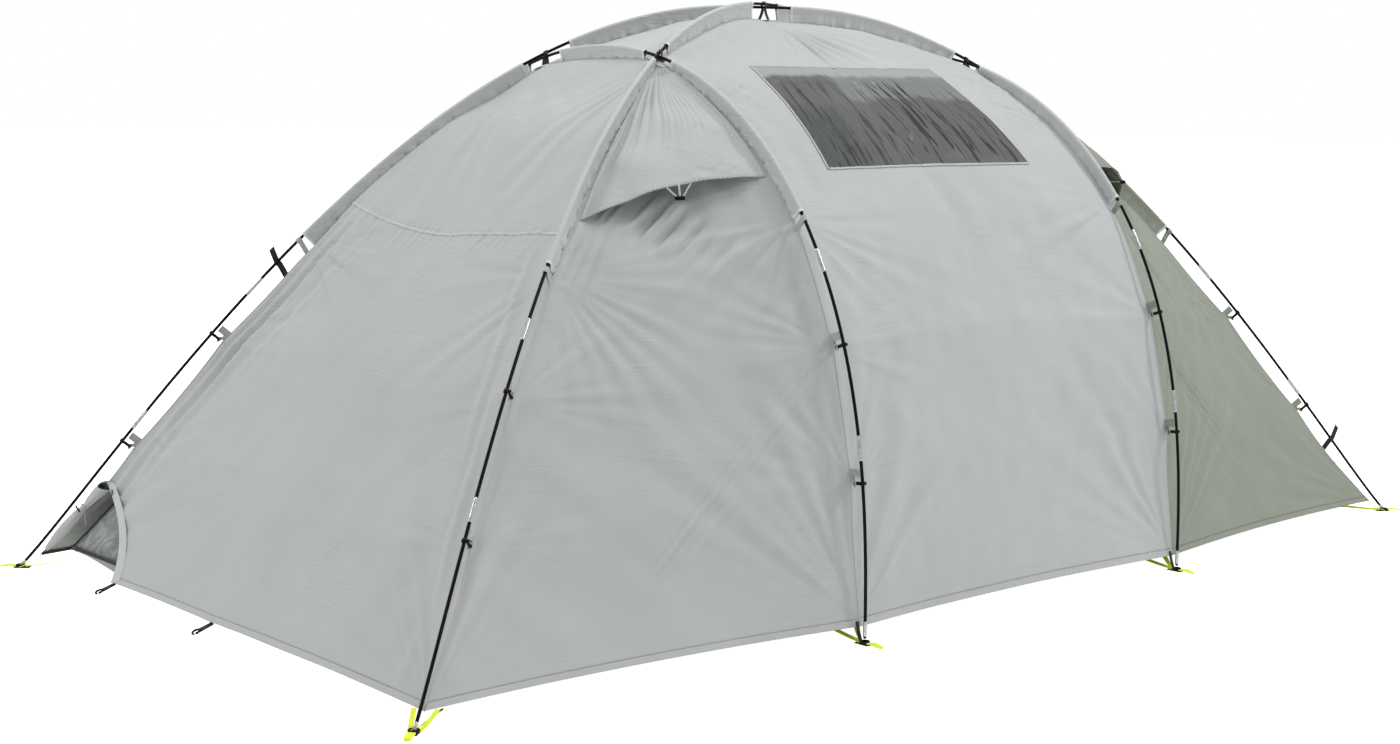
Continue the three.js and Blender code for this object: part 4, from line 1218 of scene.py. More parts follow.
def add_window(sy, side):
    """The film over a window, and the narrow binding round it."""
    panel = PANELS["middle", sy]
    a, b = np.linspace(-1, 1, 150)[:, None], np.linspace(0, 1, 60)[None]
    bottom, top = WINDOW["bottom"], WINDOW["top"]

    def place(a, b):
        found = window_place(panel, a * window_half(b), bottom + (top - bottom) * b)
        return on_cloth(f"fly_{side}_middle", *found)

    points, outward = place(a, b)
    edge = ramp(0, 0.12, np.minimum(1 - np.abs(a), b * 0.8)) * ramp(0, 0.12, 1 - b)
    slant = a * 0.45 - b * 0.34
    lift = 0.0018 * waves(slant, 701, 60, 150) * np.clip(swell(points, 703, 0.3), 0, 1.5)
    lift = 0.0022 + edge * np.abs(lift + 0.003 * swell(points, 705, 0.22))
    lift = lift + 0.003 * np.exp(-(((b - 0.84) / 0.03) ** 2)) * edge
    shape = Shape()
    shape.sheet(points + outward * lift[..., None], paired(a * 0.43, b * 0.33))
    piece = thicken(shape.make(f"window_{side}_film", [FILM], "window_film"), 0.0006)
    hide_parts(f"window_{side}")

    shape = Shape()
    t = np.linspace(-1, 1, 60)
    sides = ((t, 0 * t), (1 + 0 * t, (t + 1) / 2), (-t, 1 + 0 * t), (-1 + 0 * t, (1 - t) / 2))
    for a, b in sides:
        flat_band(shape, *place(a, b), 0.0026, rounded(0.007, 0.0014, 0.0006, 2))
    shape.make(f"window_{side}_binding", [FLY], "fly")


for sy, side in SIDES:
    add_window(sy, side)

# ---------- Vents ----------


def hood_place(sx, sy, u, w, lift=1.0):
    """A point of a vent hood and the way out of the tent there."""
    u, w = np.broadcast_arrays(np.asarray(u, float), np.asarray(w, float))
    across = HOOD["left"] + (HOOD["right"] - HOOD["left"]) * u
    v = HOOD["bottom"] + (HOOD["top"] - HOOD["bottom"]) * w
    points, outward = PANELS["side", sx, sy].normals(across, v)
    opened = np.sin(np.pi * np.clip(u, 0, 1)) * (1 - np.clip(w, 0, 1)) ** HOOD["curve"]
    return points + outward * (0.004 + lift * HOOD["lift"] * opened)[..., None], outward


def hood_cloth(sx, sy, u, w):
    """The hood's hem is drawn up towards the hoop."""
    raised = (0.012 + 0.05 * np.asarray(u, float) ** 1.4) * (1 - w) ** 2
    return hood_place(sx, sy, u, w + raised, 0.85)


def prop_frame(sx, sy):
    """The heel and toe of a vent's prop, and its width, length and thickness directions."""
    _, outward = PANELS["side", sx, sy].normals(PROP["across"], PROP["up"])
    heel = np.array(PROP["heel"]) * [sx, sy, 1]
    share = (PROP["across"] - HOOD["left"]) / (HOOD["right"] - HOOD["left"])
    toe = hood_place(sx, sy, share, 0.0)[0] - UP * PROP["drop"]
    along = unit(toe - heel)
    across = unit(np.cross(along, outward))
    return heel, toe, across, along, np.cross(across, along)


def add_hood(sx, sy, corner):
    """A vent's gathered hood with its stiff hem, bound edges and the straps to its prop."""
    shape = Shape()
    us, ws = np.linspace(0, 1, 150), np.linspace(0, 1, 110)
    u, w = us[:, None], ws[None]
    points, outward = hood_cloth(sx, sy, u, w)
    widths = np.linalg.norm(points[-1] - points[0], axis=-1)[None]
    turned = u + 0.03 * np.sin(7 * w + 1)
    gathers = waves(turned, 801 + sx + 5 * sy, 18, 60) * (0.25 + 0.75 * ramp(0.9, 0.2, u))
    fine = waves(turned, 811 + sx, 90, 170)
    fade = ramp(0.1, 0.75, w) * ramp(1.0, 0.9, w) * ramp(0, 0.04, u) * ramp(1, 0.96, u)
    lift = widths * (0.011 * gathers + 0.004 * fine) * fade
    edges = ramp(0, 0.1, u) * ramp(1, 0.9, u)
    slack = swell(points, 821 + sx, 0.2) * 0.003 + swell(points, 823 + sx, 0.09) * 0.0016
    lift = lift + slack * edges * ramp(1, 0.7, w)
    dents = np.clip(swell(points, 827 + sx, 0.05) - 0.5, 0, 2) * ramp(0.45, 0.7, u)
    lift = lift - 0.003 * dents * edges * ramp(0.6, 0.3, w)
    ruffle = 0.0014 * np.sin(u * 330) * np.exp(-w / 0.05) * np.sin(np.pi * u)
    grid = points + outward * (lift + ruffle)[..., None]
    shape.sheet(grid, paired(u * 0.55, w * 0.6))
    hem_line = grid[:, 0]
    up = unit(grid[:, 1] - grid[:, 0])
    side = unit(np.cross(direction(hem_line), up))
    ripple = 0.0013 * np.sin(us * 330)[:, None]
    band = rounded(0.0026, 0.0135, 0.0011, 2)
    shape.sweep(hem_line + side * ripple + up * 0.0065, side, up, band)
    for edge in (grid[0], grid[-1]):
        side = np.cross(direction(edge), outward[0])
        shape.sweep(edge, side, outward[0], rounded(0.009, 0.0024, 0.001, 2))
    _, toe, across, _, _ = prop_frame(sx, sy)
    # Three short straps run from the hem to the prop's toe.
    hem_way = hem_line[-1] - hem_line[0]
    for share, foot in ((0.455, -0.009), (0.52, 0.0), (0.585, 0.009)):
        start = grid[int(share * (len(us) - 1)), 0]
        stop = toe + across * (foot if across @ hem_way > 0 else -foot)
        path = start + (stop + UP * 0.004 - start) * np.linspace(0, 1, 8)[:, None]
        strip(shape, path, hem_way, 0.0055, 0.0012, 1, 0.0006)
    look, slot = fly_cloth(sx, sy)
    tab, _ = tab_webbing(sx, sy)
    piece = thicken(shape.make(f"vent_hood_{corner}_cloth", [look, tab], slot), 0.0006)
    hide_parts(f"vent_hood_{corner}")
    middle, normal = hood_place(sx, sy, 0.5, 0.35, 0)
    tuple(normal)
    tuple(middle)
    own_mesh(piece)


def add_net(sx, sy, corner):
    """A dark net on the cloth under a hood, with its binding. The net is real, and its dark colour
    is also painted shade under the hood.
    """
    panel = PANELS["side", sx, sy]
    us, vs = np.linspace(0.2, 0.8, 60), np.linspace(0.735, 0.85, 50)
    points, outward = panel.normals(us[:, None], vs[None])
    lift = 0.003 + 0.0012 * swell(points, 831 + sx + 5 * sy, 0.05)
    width = np.linalg.norm(points[-1, 0] - points[0, 0])
    grid = points + outward * lift[..., None]
    places = np.stack(np.meshgrid(us / 0.6 * width, vs * panel.height, indexing="ij"), -1)
    shape = Shape()
    shape.sheet(grid, places)
    # The net's dark colour is partly painted shade under the hood.
    net = thicken(shape.make(f"vent_net_{corner}", [NET], "inner_mesh"), 0.0005)
    shape = Shape()
    facing = outward[len(us) // 2, len(vs) // 2]
    for line in (grid[0], grid[-1], grid[:, 0], grid[:, -1]):
        side = np.cross(direction(line), facing)
        shape.sweep(line, side, facing, rounded(0.012, 0.002, 0.0009, 2))
    look, slot = fly_cloth(sx, sy)
    shape.make(f"vent_net_binding_{corner}", [look], slot)


def add_prop(sx, sy, corner):
    """A waisted strut from the barrel of its hinge to a pad at its toe."""
    heel, toe, across, along, thick = prop_frame(sx, sy)
    length = np.linalg.norm(toe - heel)
    shape = Shape()
    rows = np.linspace(0, 1, 12)
    widths = PROP["width"] * (1 - 0.22 * np.sin(np.pi * rows) ** 2)
    sections = tapered(widths, 0.003, 0.0013)
    shape.sweep(heel + along * (rows * length)[:, None], across, thick, sections, 1)
    barrel = heel + across * (np.array([-0.5, -0.47, 0.47, 0.5]) * PROP["width"])[:, None]
    shape.sweep(barrel, along, thick, sized(circle(1, 14), [0.0029, 0.0035, 0.0035, 0.0029]))
    ends = np.array([-0.5, -0.44, -0.3, 0.3, 0.44, 0.5])
    pads = sized(rounded(0.028, 0.011, 0.003, 3), [0.8, 0.94, 1, 1, 0.94, 0.8])
    shape.sweep(toe + along * (ends * 0.018)[:, None], across, thick, pads)
    name = f"vent_prop_{corner}"
    piece = shape.make(f"{name}_strut", [PLASTIC, TAB_GREY], "hook_plastic", name)
    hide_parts(name)


for sx, sy, corner in CORNERS:
    add_hood(sx, sy, corner)
    add_net(sx, sy, corner)
    add_prop(sx, sy, corner)

# ---------- Pole hooks ----------


def hook_outline():
    """A clip that is open away from the tent, with a neck and a webbing bar on the tent's side."""
    inner, outer = POLE_RADIUS + 0.0005, POLE_RADIUS + 0.0033
    angles = np.radians(np.linspace(60, 300, 17))
    points = [(outer * math.cos(a), outer * math.sin(a)) for a in angles]
    reach = HOOK_REACH
    points += [(0.012, -0.0052), (0.019, -0.0048), (reach - 0.004, -0.0055)]
    points += [(reach - 0.003, -0.008), (reach - 0.0008, -0.0085), (reach, -0.007)]
    points += [(reach, 0.004), (reach - 0.0008, 0.0054), (reach - 0.003, 0.005)]
    points += [(reach - 0.0036, -0.0016), (0.019, -0.0022), (0.011, -0.0026)]
    points += [(inner * math.cos(a), inner * math.sin(a)) for a in angles[::-1]]
    return np.array(points)


def inset(outline, distance):
    """The outline moved inwards. It runs anticlockwise."""
    before, after = np.roll(outline, 1, axis=0), np.roll(outline, -1, axis=0)
    first, second = unit(outline - before), unit(after - outline)
    aside = unit(first + second)
    return outline + np.stack([-aside[:, 1], aside[:, 0]], -1) * distance


HOOK_OUTLINE = hook_outline()
TAB_RISE = 0.029  # from a hook's middle to the middle of the flat tab above it


def add_hook(leg, arc, name):
    """A plastic clip on the pole, and the webbing tab that ties it to the seam."""
    middle, inward, along = leg.point(arc), leg.inward(arc), leg.pole.tangent(leg.share(arc))
    aside = np.cross(along, inward)
    half = HOOK_WIDTH * 0.35
    depths = np.array([-half, -half + 0.0006, half - 0.0006, half])
    sections = np.array([inset(HOOK_OUTLINE, bevel) for bevel in (0.0006, 0.0, 0.0, 0.0006)])
    shape = Shape()
    shape.sweep(middle + along * depths[:, None], inward, aside, sections)
    knob = middle - inward * 0.0005 - aside * 0.0105
    axes = np.array([inward * 0.0032, along * 0.0055, aside * 0.0036])
    shape.add(*ball(knob, axes))
    rib = middle + inward * np.linspace(0.010, HOOK_REACH - 0.005, 5)[:, None] - aside * 0.0062
    shape.sweep(rib, along, aside, rounded(0.004, 0.0026, 0.001, 2))
    piece = shape.make(f"{name}_clip", [PLASTIC], "hook_plastic", name)
    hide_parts(name)

    # The webbing tab is sewn into the seam and folded round the hook's bar.
    bar = middle + inward * (HOOK_REACH - 0.0015) + aside * 0.001
    seam = leg.seam(arc + 0.014)
    path = bend(
        [
            seam + inward * 0.004 + aside * 0.001,
            seam - inward * 0.006 + aside * 0.0025,
            bar + aside * 0.0035 + inward * 0.001,
            bar - inward * 0.0035,
            bar - aside * 0.0045 + inward * 0.002,
            seam - inward * 0.006 - aside * 0.002,
            seam + inward * 0.004 - aside * 0.0008,
        ],
        5,
    )
    shape = Shape()
    strip(shape, path, along, 0.02, 0.0013)
    # Above the clip it runs on flat to the pole.
    beside = leg.seam(arc + TAB_RISE)
    near_pole = leg.point(arc + TAB_RISE) + inward * 0.0085
    path = np.linspace(beside + inward * 0.004, near_pole, 7)
    strip(shape, path, along, 0.024, 0.0016)
    stitch = seam - inward * 0.004
    for offset in (-0.006, 0.0, 0.006):
        line = stitch + along * offset + inward * np.linspace(-0.002, 0.002, 3)[:, None]
        shape.sweep(line, along, aside, rounded(0.0012, 0.0072, 0.0005, 1))
    look, slot = tab_webbing(leg.sx, leg.sy)
    tab = shape.make(f"{name}_tab", [look], slot, body=None)
    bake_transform(tab)


for sx, sy, corner in CORNERS:
    for kind, part in (("diagonal", "corner"), ("hoop", "side")):
        leg = LEGS[kind, sx, sy]
        for level, arc in enumerate(HOOK_ARC[kind], 1):
            add_hook(leg, arc, f"hook_{corner}_{part}_{level}")

# ---------- Ties at the sleeve ends and crossings ----------


def loop_round(shape, centre, first, second, along, width):
    """A flat band round something. first and second are the loop's half axes."""
    angles = np.linspace(0, 2 * np.pi, 29)[:, None]
    path = centre + first * np.cos(angles) + second * np.sin(angles)
    strip(shape, path, along, width, 0.0014)


def add_sleeve_ties():
    for (kind, sx, sy), leg in LEGS.items():
        arc = SLEEVE_END[kind] - 0.022
        middle, inward, along = leg.point(arc), leg.inward(arc), leg.tangent(arc)
        aside = np.cross(along, inward)
        shape = Shape()
        loop_round(shape, middle + inward * 0.001, inward * 0.0085, aside * 0.0065, along, 0.018)
        for turn in (1, -1):
            path = bend(
                [
                    middle + inward * 0.008 + aside * 0.003 * turn,
                    middle + inward * 0.022 + aside * 0.0022 * turn - along * 0.004,
                    leg.seam(arc - 0.012) + inward * 0.003 + aside * 0.0008 * turn,
                ],
                6,
            )
            strip(shape, path, along, 0.017, 0.0011)
        look, slot = tab_webbing(sx, sy)
        shape.make(f"sleeve_tie_{CORNER_NAMES[sx, sy]}_{kind}", [look], slot)


def add_crossing(name, upper, arc, lower, other_arc, below):
    """Ties two poles where they cross, and ties both to the cloth's point below."""
    middle = (upper.point(arc) + lower.point(other_arc)) / 2
    along = upper.tangent(arc)
    inward = unit(below - middle)
    across = unit(np.cross(inward, along))
    shape = Shape()
    loop_round(shape, middle, inward * 0.0135, across * 0.0085, along, 0.013)
    half = np.linalg.norm(below - middle)
    for turn in (-1, 1):
        path = bend(
            [
                middle + inward * 0.011 + across * 0.004 * turn,
                middle + inward * half * 0.6 + across * 0.009 * turn,
                below - inward * 0.0015 + across * 0.017 * turn,
            ],
            6,
        )
        strip(shape, path, along, 0.02, 0.0014)
    shape.make(f"pole_tie_{name}", [WEBBING], "webbing")


def add_crossings():
    for sx, sy, corner in CORNERS:
        diagonal, hoop = LEGS["diagonal", sx, sy], LEGS["hoop", sx, sy]
        add_crossing(corner, diagonal, diagonal.cross, hoop, hoop.cross, CROSSINGS[sx, sy])
    first, second = LEGS["diagonal", -1, -1], LEGS["diagonal", -1, 1]
    add_crossing("apex", first, first.half, second, second.half, APEX)


def crossing_cloth(sx, sy, corner):
    """A patch sewn over the meeting of four seams."""
    middle = CROSSINGS[sx, sy]
    hoop, diagonal = LEGS["hoop", sx, sy], LEGS["diagonal", sx, sy]
    first = unit(hoop.tangent(hoop.cross))
    outward = -unit(hoop.inward(hoop.cross) + diagonal.inward(diagonal.cross))
    second = unit(np.cross(outward, first))
    a, b = np.linspace(-1, 1, 25)[:, None], np.linspace(-1, 1, 25)[None]
    first_reach, second_reach = 0.036, 0.028
    drop = 0.006 * a**2 + 0.004 * b**2
    grid = (
        middle
        + first * (a * first_reach + 0 * b)[..., None]
        + second * (b * second_reach + 0.35 * a * first_reach)[..., None]
        + outward * (0.0045 - drop)[..., None]
    )
    shape = Shape()
    shape.sheet(grid, paired(a * first_reach, b * second_reach))
    # The patch is drawn in the lightened sleeve cloth, painted lighter than the fly.
    piece = thicken(shape.make(f"crossing_patch_{corner}", [SLEEVE_LIGHTENED], "sleeve"), 0.0012)


add_sleeve_ties()
add_crossings()
for sx, sy, corner in CORNERS:
    crossing_cloth(sx, sy, corner)

# ---------- Feet ----------


def ring(shape, centre, inner, outer, low, high, look):
    """An upright collar with round edges."""
    radius, height = (outer - inner) / 2, high - low
    section = rounded(2 * radius, height, min(radius, height / 2) * 0.9, 3)
    angles = np.linspace(0, 2 * np.pi, 33)
    out = np.stack([np.cos(angles), np.sin(angles), 0 * angles], -1)
    path = centre + out * (inner + radius) + UP * (low + height / 2)
    shape.sweep(path, out, np.broadcast_to(UP, out.shape), section, look, caps=False)


def add_anchor(leg, name, outward):
    """A foot's webbing with its eyelet, the pull tab outside and the tension straps inside."""
    out = unit(np.array([*outward, 0.0]))
    side = np.cross(UP, out)
    foot = leg.point(0.0) * np.array([1, 1, 0])
    shape = Shape()
    base = foot + out * np.linspace(-0.03, 0.02, 6)[:, None] + UP * 0.0011
    shape.sweep(base, side, UP, rounded(0.026, 0.002, 0.0009, 2), 1)
    ring(shape, foot, 0.011, 0.015, 0.001, 0.011, 2)
    tab = [0.004, 0.018, 0.034, 0.052, 0.067]
    rise = [0.0035, 0.005, 0.0075, 0.005, 0.002]
    sections = tapered([0.011, 0.018, 0.024, 0.022, 0.013], 0.0015, 0.0006)
    for layer in (0.0, 0.0022):
        path = foot + out * np.array(tab)[:, None] + UP * (np.array(rise) + layer)[:, None]
        shape.sweep(path, side, UP, sections)
    corner_of_cloth = leg.seam(leg.low + 0.004)
    start = foot - out * 0.016 + UP * 0.005
    if leg.kind == "diagonal":
        for turn in (-1, 1):
            low = foot + side * 0.012 * turn + UP * 0.004
            high = corner_of_cloth + side * 0.03 * turn - out * 0.012
            strip(shape, bend([low, (low + high) / 2 - UP * 0.004, high], 8), side, 0.013, 0.0013)
    else:
        side = np.array([1.0, 0, 0])
        stop = foot - out * 0.13 + side * 0.09 + UP * 0.036
        path = bend([start, (start + stop) / 2 - UP * 0.003, stop], 8)
        sections = tapered(np.linspace(0.011, 0.024, len(path)), 0.0015, 0.0006)
        tilt = unit(side + UP * 0.5)
        shape.sweep(path, tilt, unit(np.cross(out, tilt)), sections)
        top = corner_of_cloth - side * 0.009 + UP * 0.01
        middle = (top + start) / 2 - side * 0.005 + out * 0.004
        path = bend([top, middle, foot - side * 0.013 + UP * 0.004], 8)
        strip(shape, path, side, 0.013, 0.0016, 1)
    if name == "anchor_far_left_corner":
        stop = np.array([-FLOOR["corner"][0], FLOOR["corner"][1], FLOOR["wall"]])
        path = bend([start, (start + stop) / 2 - UP * 0.012, stop], 10)
        strip(shape, path, side, 0.014, 0.0014, 0, 0.0008)
    else:
        inner = foot - out * 0.15 + side * 0.024
        path = bend([start, foot - out * 0.085 + side * 0.012 + UP * 0.008, inner + UP * 0.012], 8)
        tilt = unit(side + UP * 0.45)
        strip(shape, path, tilt, 0.013, 0.0014, 0)
        end = inner + out * np.array([0.006, 0.0, -0.011])[:, None] + UP * 0.0122
        strip(shape, end, tilt, 0.016, 0.0028, 2)
    piece = shape.make(f"{name}_straps", [STRAP, WEBBING, PLASTIC], "strap")
    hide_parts(name)


for sx, sy, corner in CORNERS:
    add_anchor(LEGS["diagonal", sx, sy], f"anchor_{corner}_corner", (0.75 * sx, 0.65 * sy))
    add_anchor(LEGS["hoop", sx, sy], f"anchor_{corner}_side", (0.0, sy))


def add_leg_straps():
    """Black webbing that hangs a guy point on two of the poles."""
    for (sx, sy), arc, reach in (((1, -1), 0.35, 0.055), ((-1, 1), 1.26, 0.05)):
        leg = LEGS["diagonal", sx, sy]
        middle, inward, along = leg.point(arc), leg.inward(arc), leg.tangent(arc)
        aside = np.cross(along, inward)
        shape = Shape()
        seam = leg.seam(arc - 0.012)
        tip = middle - inward * reach * 0.85 + along * 0.02
        path = bend([seam, middle + inward * 0.012 + aside * 0.008, middle + aside * 0.009, tip], 8)
        strip(shape, path, along, 0.02, 0.0016)
        shape.make(f"guy_tab_{CORNER_NAMES[sx, sy]}", [WEBBING], "webbing")


add_leg_straps()

# ---------- Door corner ----------

TOGGLE_STEP = 0.0045  # the bar is this much further out than in CAD, to swing clear of the roll


def facing_left(along):
    """The directions across and out of something that runs along the left end."""
    across = unit(np.cross(along, LEFTWARDS))
    return across, np.cross(across, along)


def middle_of(node):
    """The middle of a CAD node's box."""
    low, high = (np.array(corner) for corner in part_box(node))
    return (low + high) / 2


def add_placket():
    """The bound edge beside the open zip, folded back on the door, and the zip's coil."""
    panel, free, share = door_panel()
    vs = np.linspace(0, share, 70)
    depths = np.array([-0.002, 0.0, 0.004, 0.02, 0.036, 0.042, 0.044])
    lifts = np.array([0.001, 0.0035, 0.0052, 0.006, 0.0052, 0.003, 0.0012])
    width = np.linalg.norm(panel.left(vs) - panel.right(vs), axis=-1)[:, None]
    points, outward = panel.normals(1 - depths[None] / width, vs[:, None])
    beyond = unit(panel.right(vs) - panel(0.97, vs))
    points[:, 0] = panel.right(vs) + beyond * 0.002
    folds = waves(vs * panel.height, 901, 60, 140)[:, None] * np.sin(np.pi * depths / 0.044)
    grid = points + outward * (lifts + 0.0018 * folds)[..., None]
    shape = Shape()
    places = np.stack(np.meshgrid(depths, vs * panel.height), -1)
    shape.sheet(grid, places)
    # The placket is drawn in the lightened sleeve cloth, a painted highlight along the door's edge.
    piece = thicken(shape.make("door_placket", [SLEEVE_LIGHTENED], "sleeve"), 0.0012)
    round(length_of(free), 3)
    shape = Shape()
    coil = panel.right(vs) + beyond * 0.0035
    side = unit(np.cross(direction(coil), outward[:, 1]))
    teeth = np.where(np.arange(len(coil)) % 2, 1.0, 0.72)
    shape.sweep(coil, side, outward[:, 1], sized(circle(0.0022, 8), teeth))
    shape.make("door_zip_coil", [WEBBING], "webbing")


def add_slider():
    """The slider and its pull, in line with the straight way between the free edge's ends."""
    _, free, _ = door_panel()
    down = unit(free[0] - free[-1])
    middle = middle_of("door_zip_slider") - down * 0.0115
    across, thick = facing_left(down)
    shape = Shape()
    ends = np.array([-0.5, -0.42, -0.1, 0.15, 0.42, 0.5]) * 0.016
    sections = tapered([0.006, 0.009, 0.0085, 0.007, 0.0085, 0.006], 0.006, 0.002, 3)
    shape.sweep(middle + down * ends[:, None], across, thick, sections)
    pull = middle + down * np.linspace(0.004, 0.03, 7)[:, None] + thick * 0.0032
    strip(shape, pull, across, 0.0055, 0.0016)
    piece = shape.make("door_zip_slider_body", [PLASTIC], "hook_plastic", "door_zip_slider")
    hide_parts("door_zip_slider")


def roll_ends():
    """The ends of the rolled cloth's middle line, beside the seam."""
    leg = LEGS["diagonal", -1, 1]
    arcs = np.linspace(leg.low, 0.8, 2001)
    heights = leg.seam(arcs)[:, 2]

    def beside(height, radius):
        arc = float(np.interp(height, heights, arcs))
        return leg.pole.cloth(leg.share(arc)) - leg.pole.across * (radius + 0.003)

    return beside(ROLL["foot"], ROLL["thin"] + 0.006), beside(ROLL["top"], ROLL["wide"])


def add_roll():
    """The door's lower corner, rolled up and gathered where its tie holds it."""
    start, stop = roll_ends()
    along = unit(stop - start)
    across, thick = facing_left(along)
    length = np.linalg.norm(stop - start)
    rows, turns = np.linspace(0, 1, 90), np.linspace(0, 2 * np.pi, 65)[:-1]
    stops = [0, 0.2, 0.36, 0.52, ROLL_TIE, 0.76, 0.9, 1]
    radii = np.interp(rows, stops, [0.007, 0.016, 0.02, 0.0165, 0.0085, 0.0155, 0.021, 0.0225])
    pleats = waves(turns, 911, 3, 9)[None] * np.exp(-(((rows - ROLL_TIE) / 0.16) ** 2))[:, None]
    spiral = 0.05 * np.sin(3 * turns + 9 * rows[:, None])
    reach = radii[:, None] * (1 + 0.16 * pleats + spiral)
    outline = np.stack([reach * np.cos(turns), reach * 0.82 * np.sin(turns)], -1)
    shape = Shape()
    path = start + along * (rows * length)[:, None]
    path = path + thick * (0.004 * np.sin(rows * np.pi))[:, None]
    points = path[:, None] + across * outline[..., :1] + thick * outline[..., 1:]
    slope = 0.9 * outline[..., 1:] * ramp(0.7, 1, rows)[:, None, None]
    points = points - along * slope
    around = np.meshgrid(np.linspace(0, 0.12, len(turns)), rows * length)
    shape.add(points, grid_faces(len(rows), len(turns), ring=True), 0, np.stack(around, -1))
    depth = np.linspace(0.985, 0.74, 14)
    # The turns inside are drawn in dark cloth, as painted shade inside the roll.
    for scale in (0.86, 0.6, 0.34):  # the turns inside the open end
        inner = np.interp(depth, rows, radii)[:, None, None] * scale * circle(1, 40, 0.8)
        swirl = 1 + 0.1 * np.sin(np.arange(40) * 2 * np.pi / 40 + scale * 9)
        inner = inner * swirl[None, :, None]
        middle = start + along * ((depth - (1 - scale) * 0.02) * length)[:, None]
        tube = middle[:, None] + across * inner[..., :1] + thick * inner[..., 1:]
        tube = tube - along * inner[..., 1:] * 0.9 * ramp(0.74, 1, depth)[:, None, None]
        shape.add(tube, grid_faces(len(depth), 40, ring=True), 1)
    neck = start + along * (ROLL_TIE * length)
    piece = thicken(shape.make("door_roll_cloth", [FLY, ROLL_INSIDE_SHADE], "fly"), 0.0007)
    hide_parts("door_roll")
    shape = Shape()
    loop_round(shape, neck, across * 0.0105, thick * 0.0088, along, 0.006)
    knot = neck + thick * 0.0085
    for turn, drop in ((-1, 0.042), (1, 0.055)):
        bow = knot + across * 0.008 * turn + thick * 0.006
        path = bend([knot, bow, knot + across * 0.012 * turn - UP * drop], 7)
        strip(shape, path, along, 0.004, 0.0012)
    shape.make("door_roll_tie", [TAB_GREY], "sleeve")


def add_toggle():
    """A waisted bar on a short cord, across the roll's neck."""
    start, stop = roll_ends()
    along = unit(stop - start)
    across, thick = facing_left(along)
    middle = middle_of("door_toggle")
    outward = unit(middle - start - along * float(np.dot(middle - start, along)))
    middle = middle + outward * TOGGLE_STEP
    rows = np.linspace(-1, 1, 21)
    waist = 1 - 0.3 * np.exp(-((rows / 0.16) ** 2))
    radii = 0.0031 * np.sqrt(np.clip(1 - rows**8, 0.02, 1)) * waist
    path = middle + across * (rows * 0.016)[:, None]
    shape = Shape()
    shape.sweep(path, along, thick, sized(circle(1, 14), radii))
    cord = middle - outward * np.linspace(-0.0015, 0.009, 6)[:, None]
    shape.sweep(cord, across, along, circle(0.0012, 8))
    piece = shape.make("door_toggle_bar", [PLASTIC], "hook_plastic", "door_toggle")
    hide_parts("door_toggle")


def add_corner_tape():
    """Black binding on the far left panel's hem, from the corner foot inwards."""
    panel = PANELS["side", -1, 1]
    points, outward = panel.normals(np.linspace(0.0, 0.3, 40), 0.004)
    side = np.cross(direction(points), outward)
    shape = Shape()
    strip(shape, points - outward * 0.003, side, 0.012, 0.002)
    shape.make("door_corner_binding", [WEBBING], "webbing")


add_placket()
add_slider()
add_roll()
add_toggle()
add_corner_tape()

# ---------- Peg loops ----------


def add_peg_loop(number, y):
    """Doubled webbing that hangs out from the hem, with an open plastic hook at its end."""
    hem_line = end_hem(-1)
    start = hem_line[len(hem_line) // 2] * np.array([1, 0, 1]) + np.array([-0.003, y, -0.013])
    reach, drop, ring_radius = 0.048, 0.016, 0.013
    along = unit(np.array([-reach, 0.0, -drop]))
    side = np.array([0.0, 1.0, 0.0])
    up = -np.cross(along, side)
    long = math.hypot(reach, drop)
    shape = Shape()
    for layer in (-0.0011, 0.0011):
        path = start + along * np.linspace(-0.004, long - ring_radius + 0.002, 9)[:, None]
        path = path + up * (layer * np.linspace(0.6, 1.6, 9))[:, None]
        strip(shape, path, side, 0.018, 0.0022)
    centre = start + along * (long - 0.002)
    angles = np.radians(np.linspace(-25, 290, 30))
    bow = ring_radius - 0.002
    path = centre + along * (bow * np.cos(angles))[:, None] + side * (bow * np.sin(angles))[:, None]
    path = path + up * (0.002 * np.sin(angles * 0.5))[:, None]
    tangent = direction(path)
    shape.sweep(path, np.cross(tangent, up), np.broadcast_to(up, path.shape), circle(0.0031, 10), 1)
    shape.add(*ball(path[-1], np.eye(3) * 0.0042), look=1)
    name = f"hem_peg_loop_{number}"
    piece = shape.make(f"{name}_webbing", [WEBBING, PLASTIC], "webbing", name)
    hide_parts(name)

    # The loop's webbing is sewn inside the hem.
    inside, root = start + np.array([0.001, 0, 0.016]), start + along * -0.002
    shape = Shape()
    strip(shape, bend([inside, start + np.array([0.002, 0, 0.006]), root], 7), side, 0.018, 0.0022)
    tab = shape.make(f"{name}_tab", [WEBBING], "webbing", body=None)
    tuple(inside)
    tuple(root)
    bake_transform(tab)


for number, y in enumerate(PEG_LOOPS, 1):
    add_peg_loop(number, y)

# ---------- Inner tent ----------

INNER_LEGS = [
    ("diagonal", -1, -1), ("hoop", -1, -1), ("hoop", 1, -1), ("diagonal", 1, -1),
    ("diagonal", 1, 1), ("hoop", 1, 1), ("hoop", -1, 1), ("diagonal", -1, 1),
]
WALL_RINGS = 30
# The doorway reaches this part of the way from the left end's middle to its corners.
DOORWAY = {"half": 0.42, "height": 0.85}


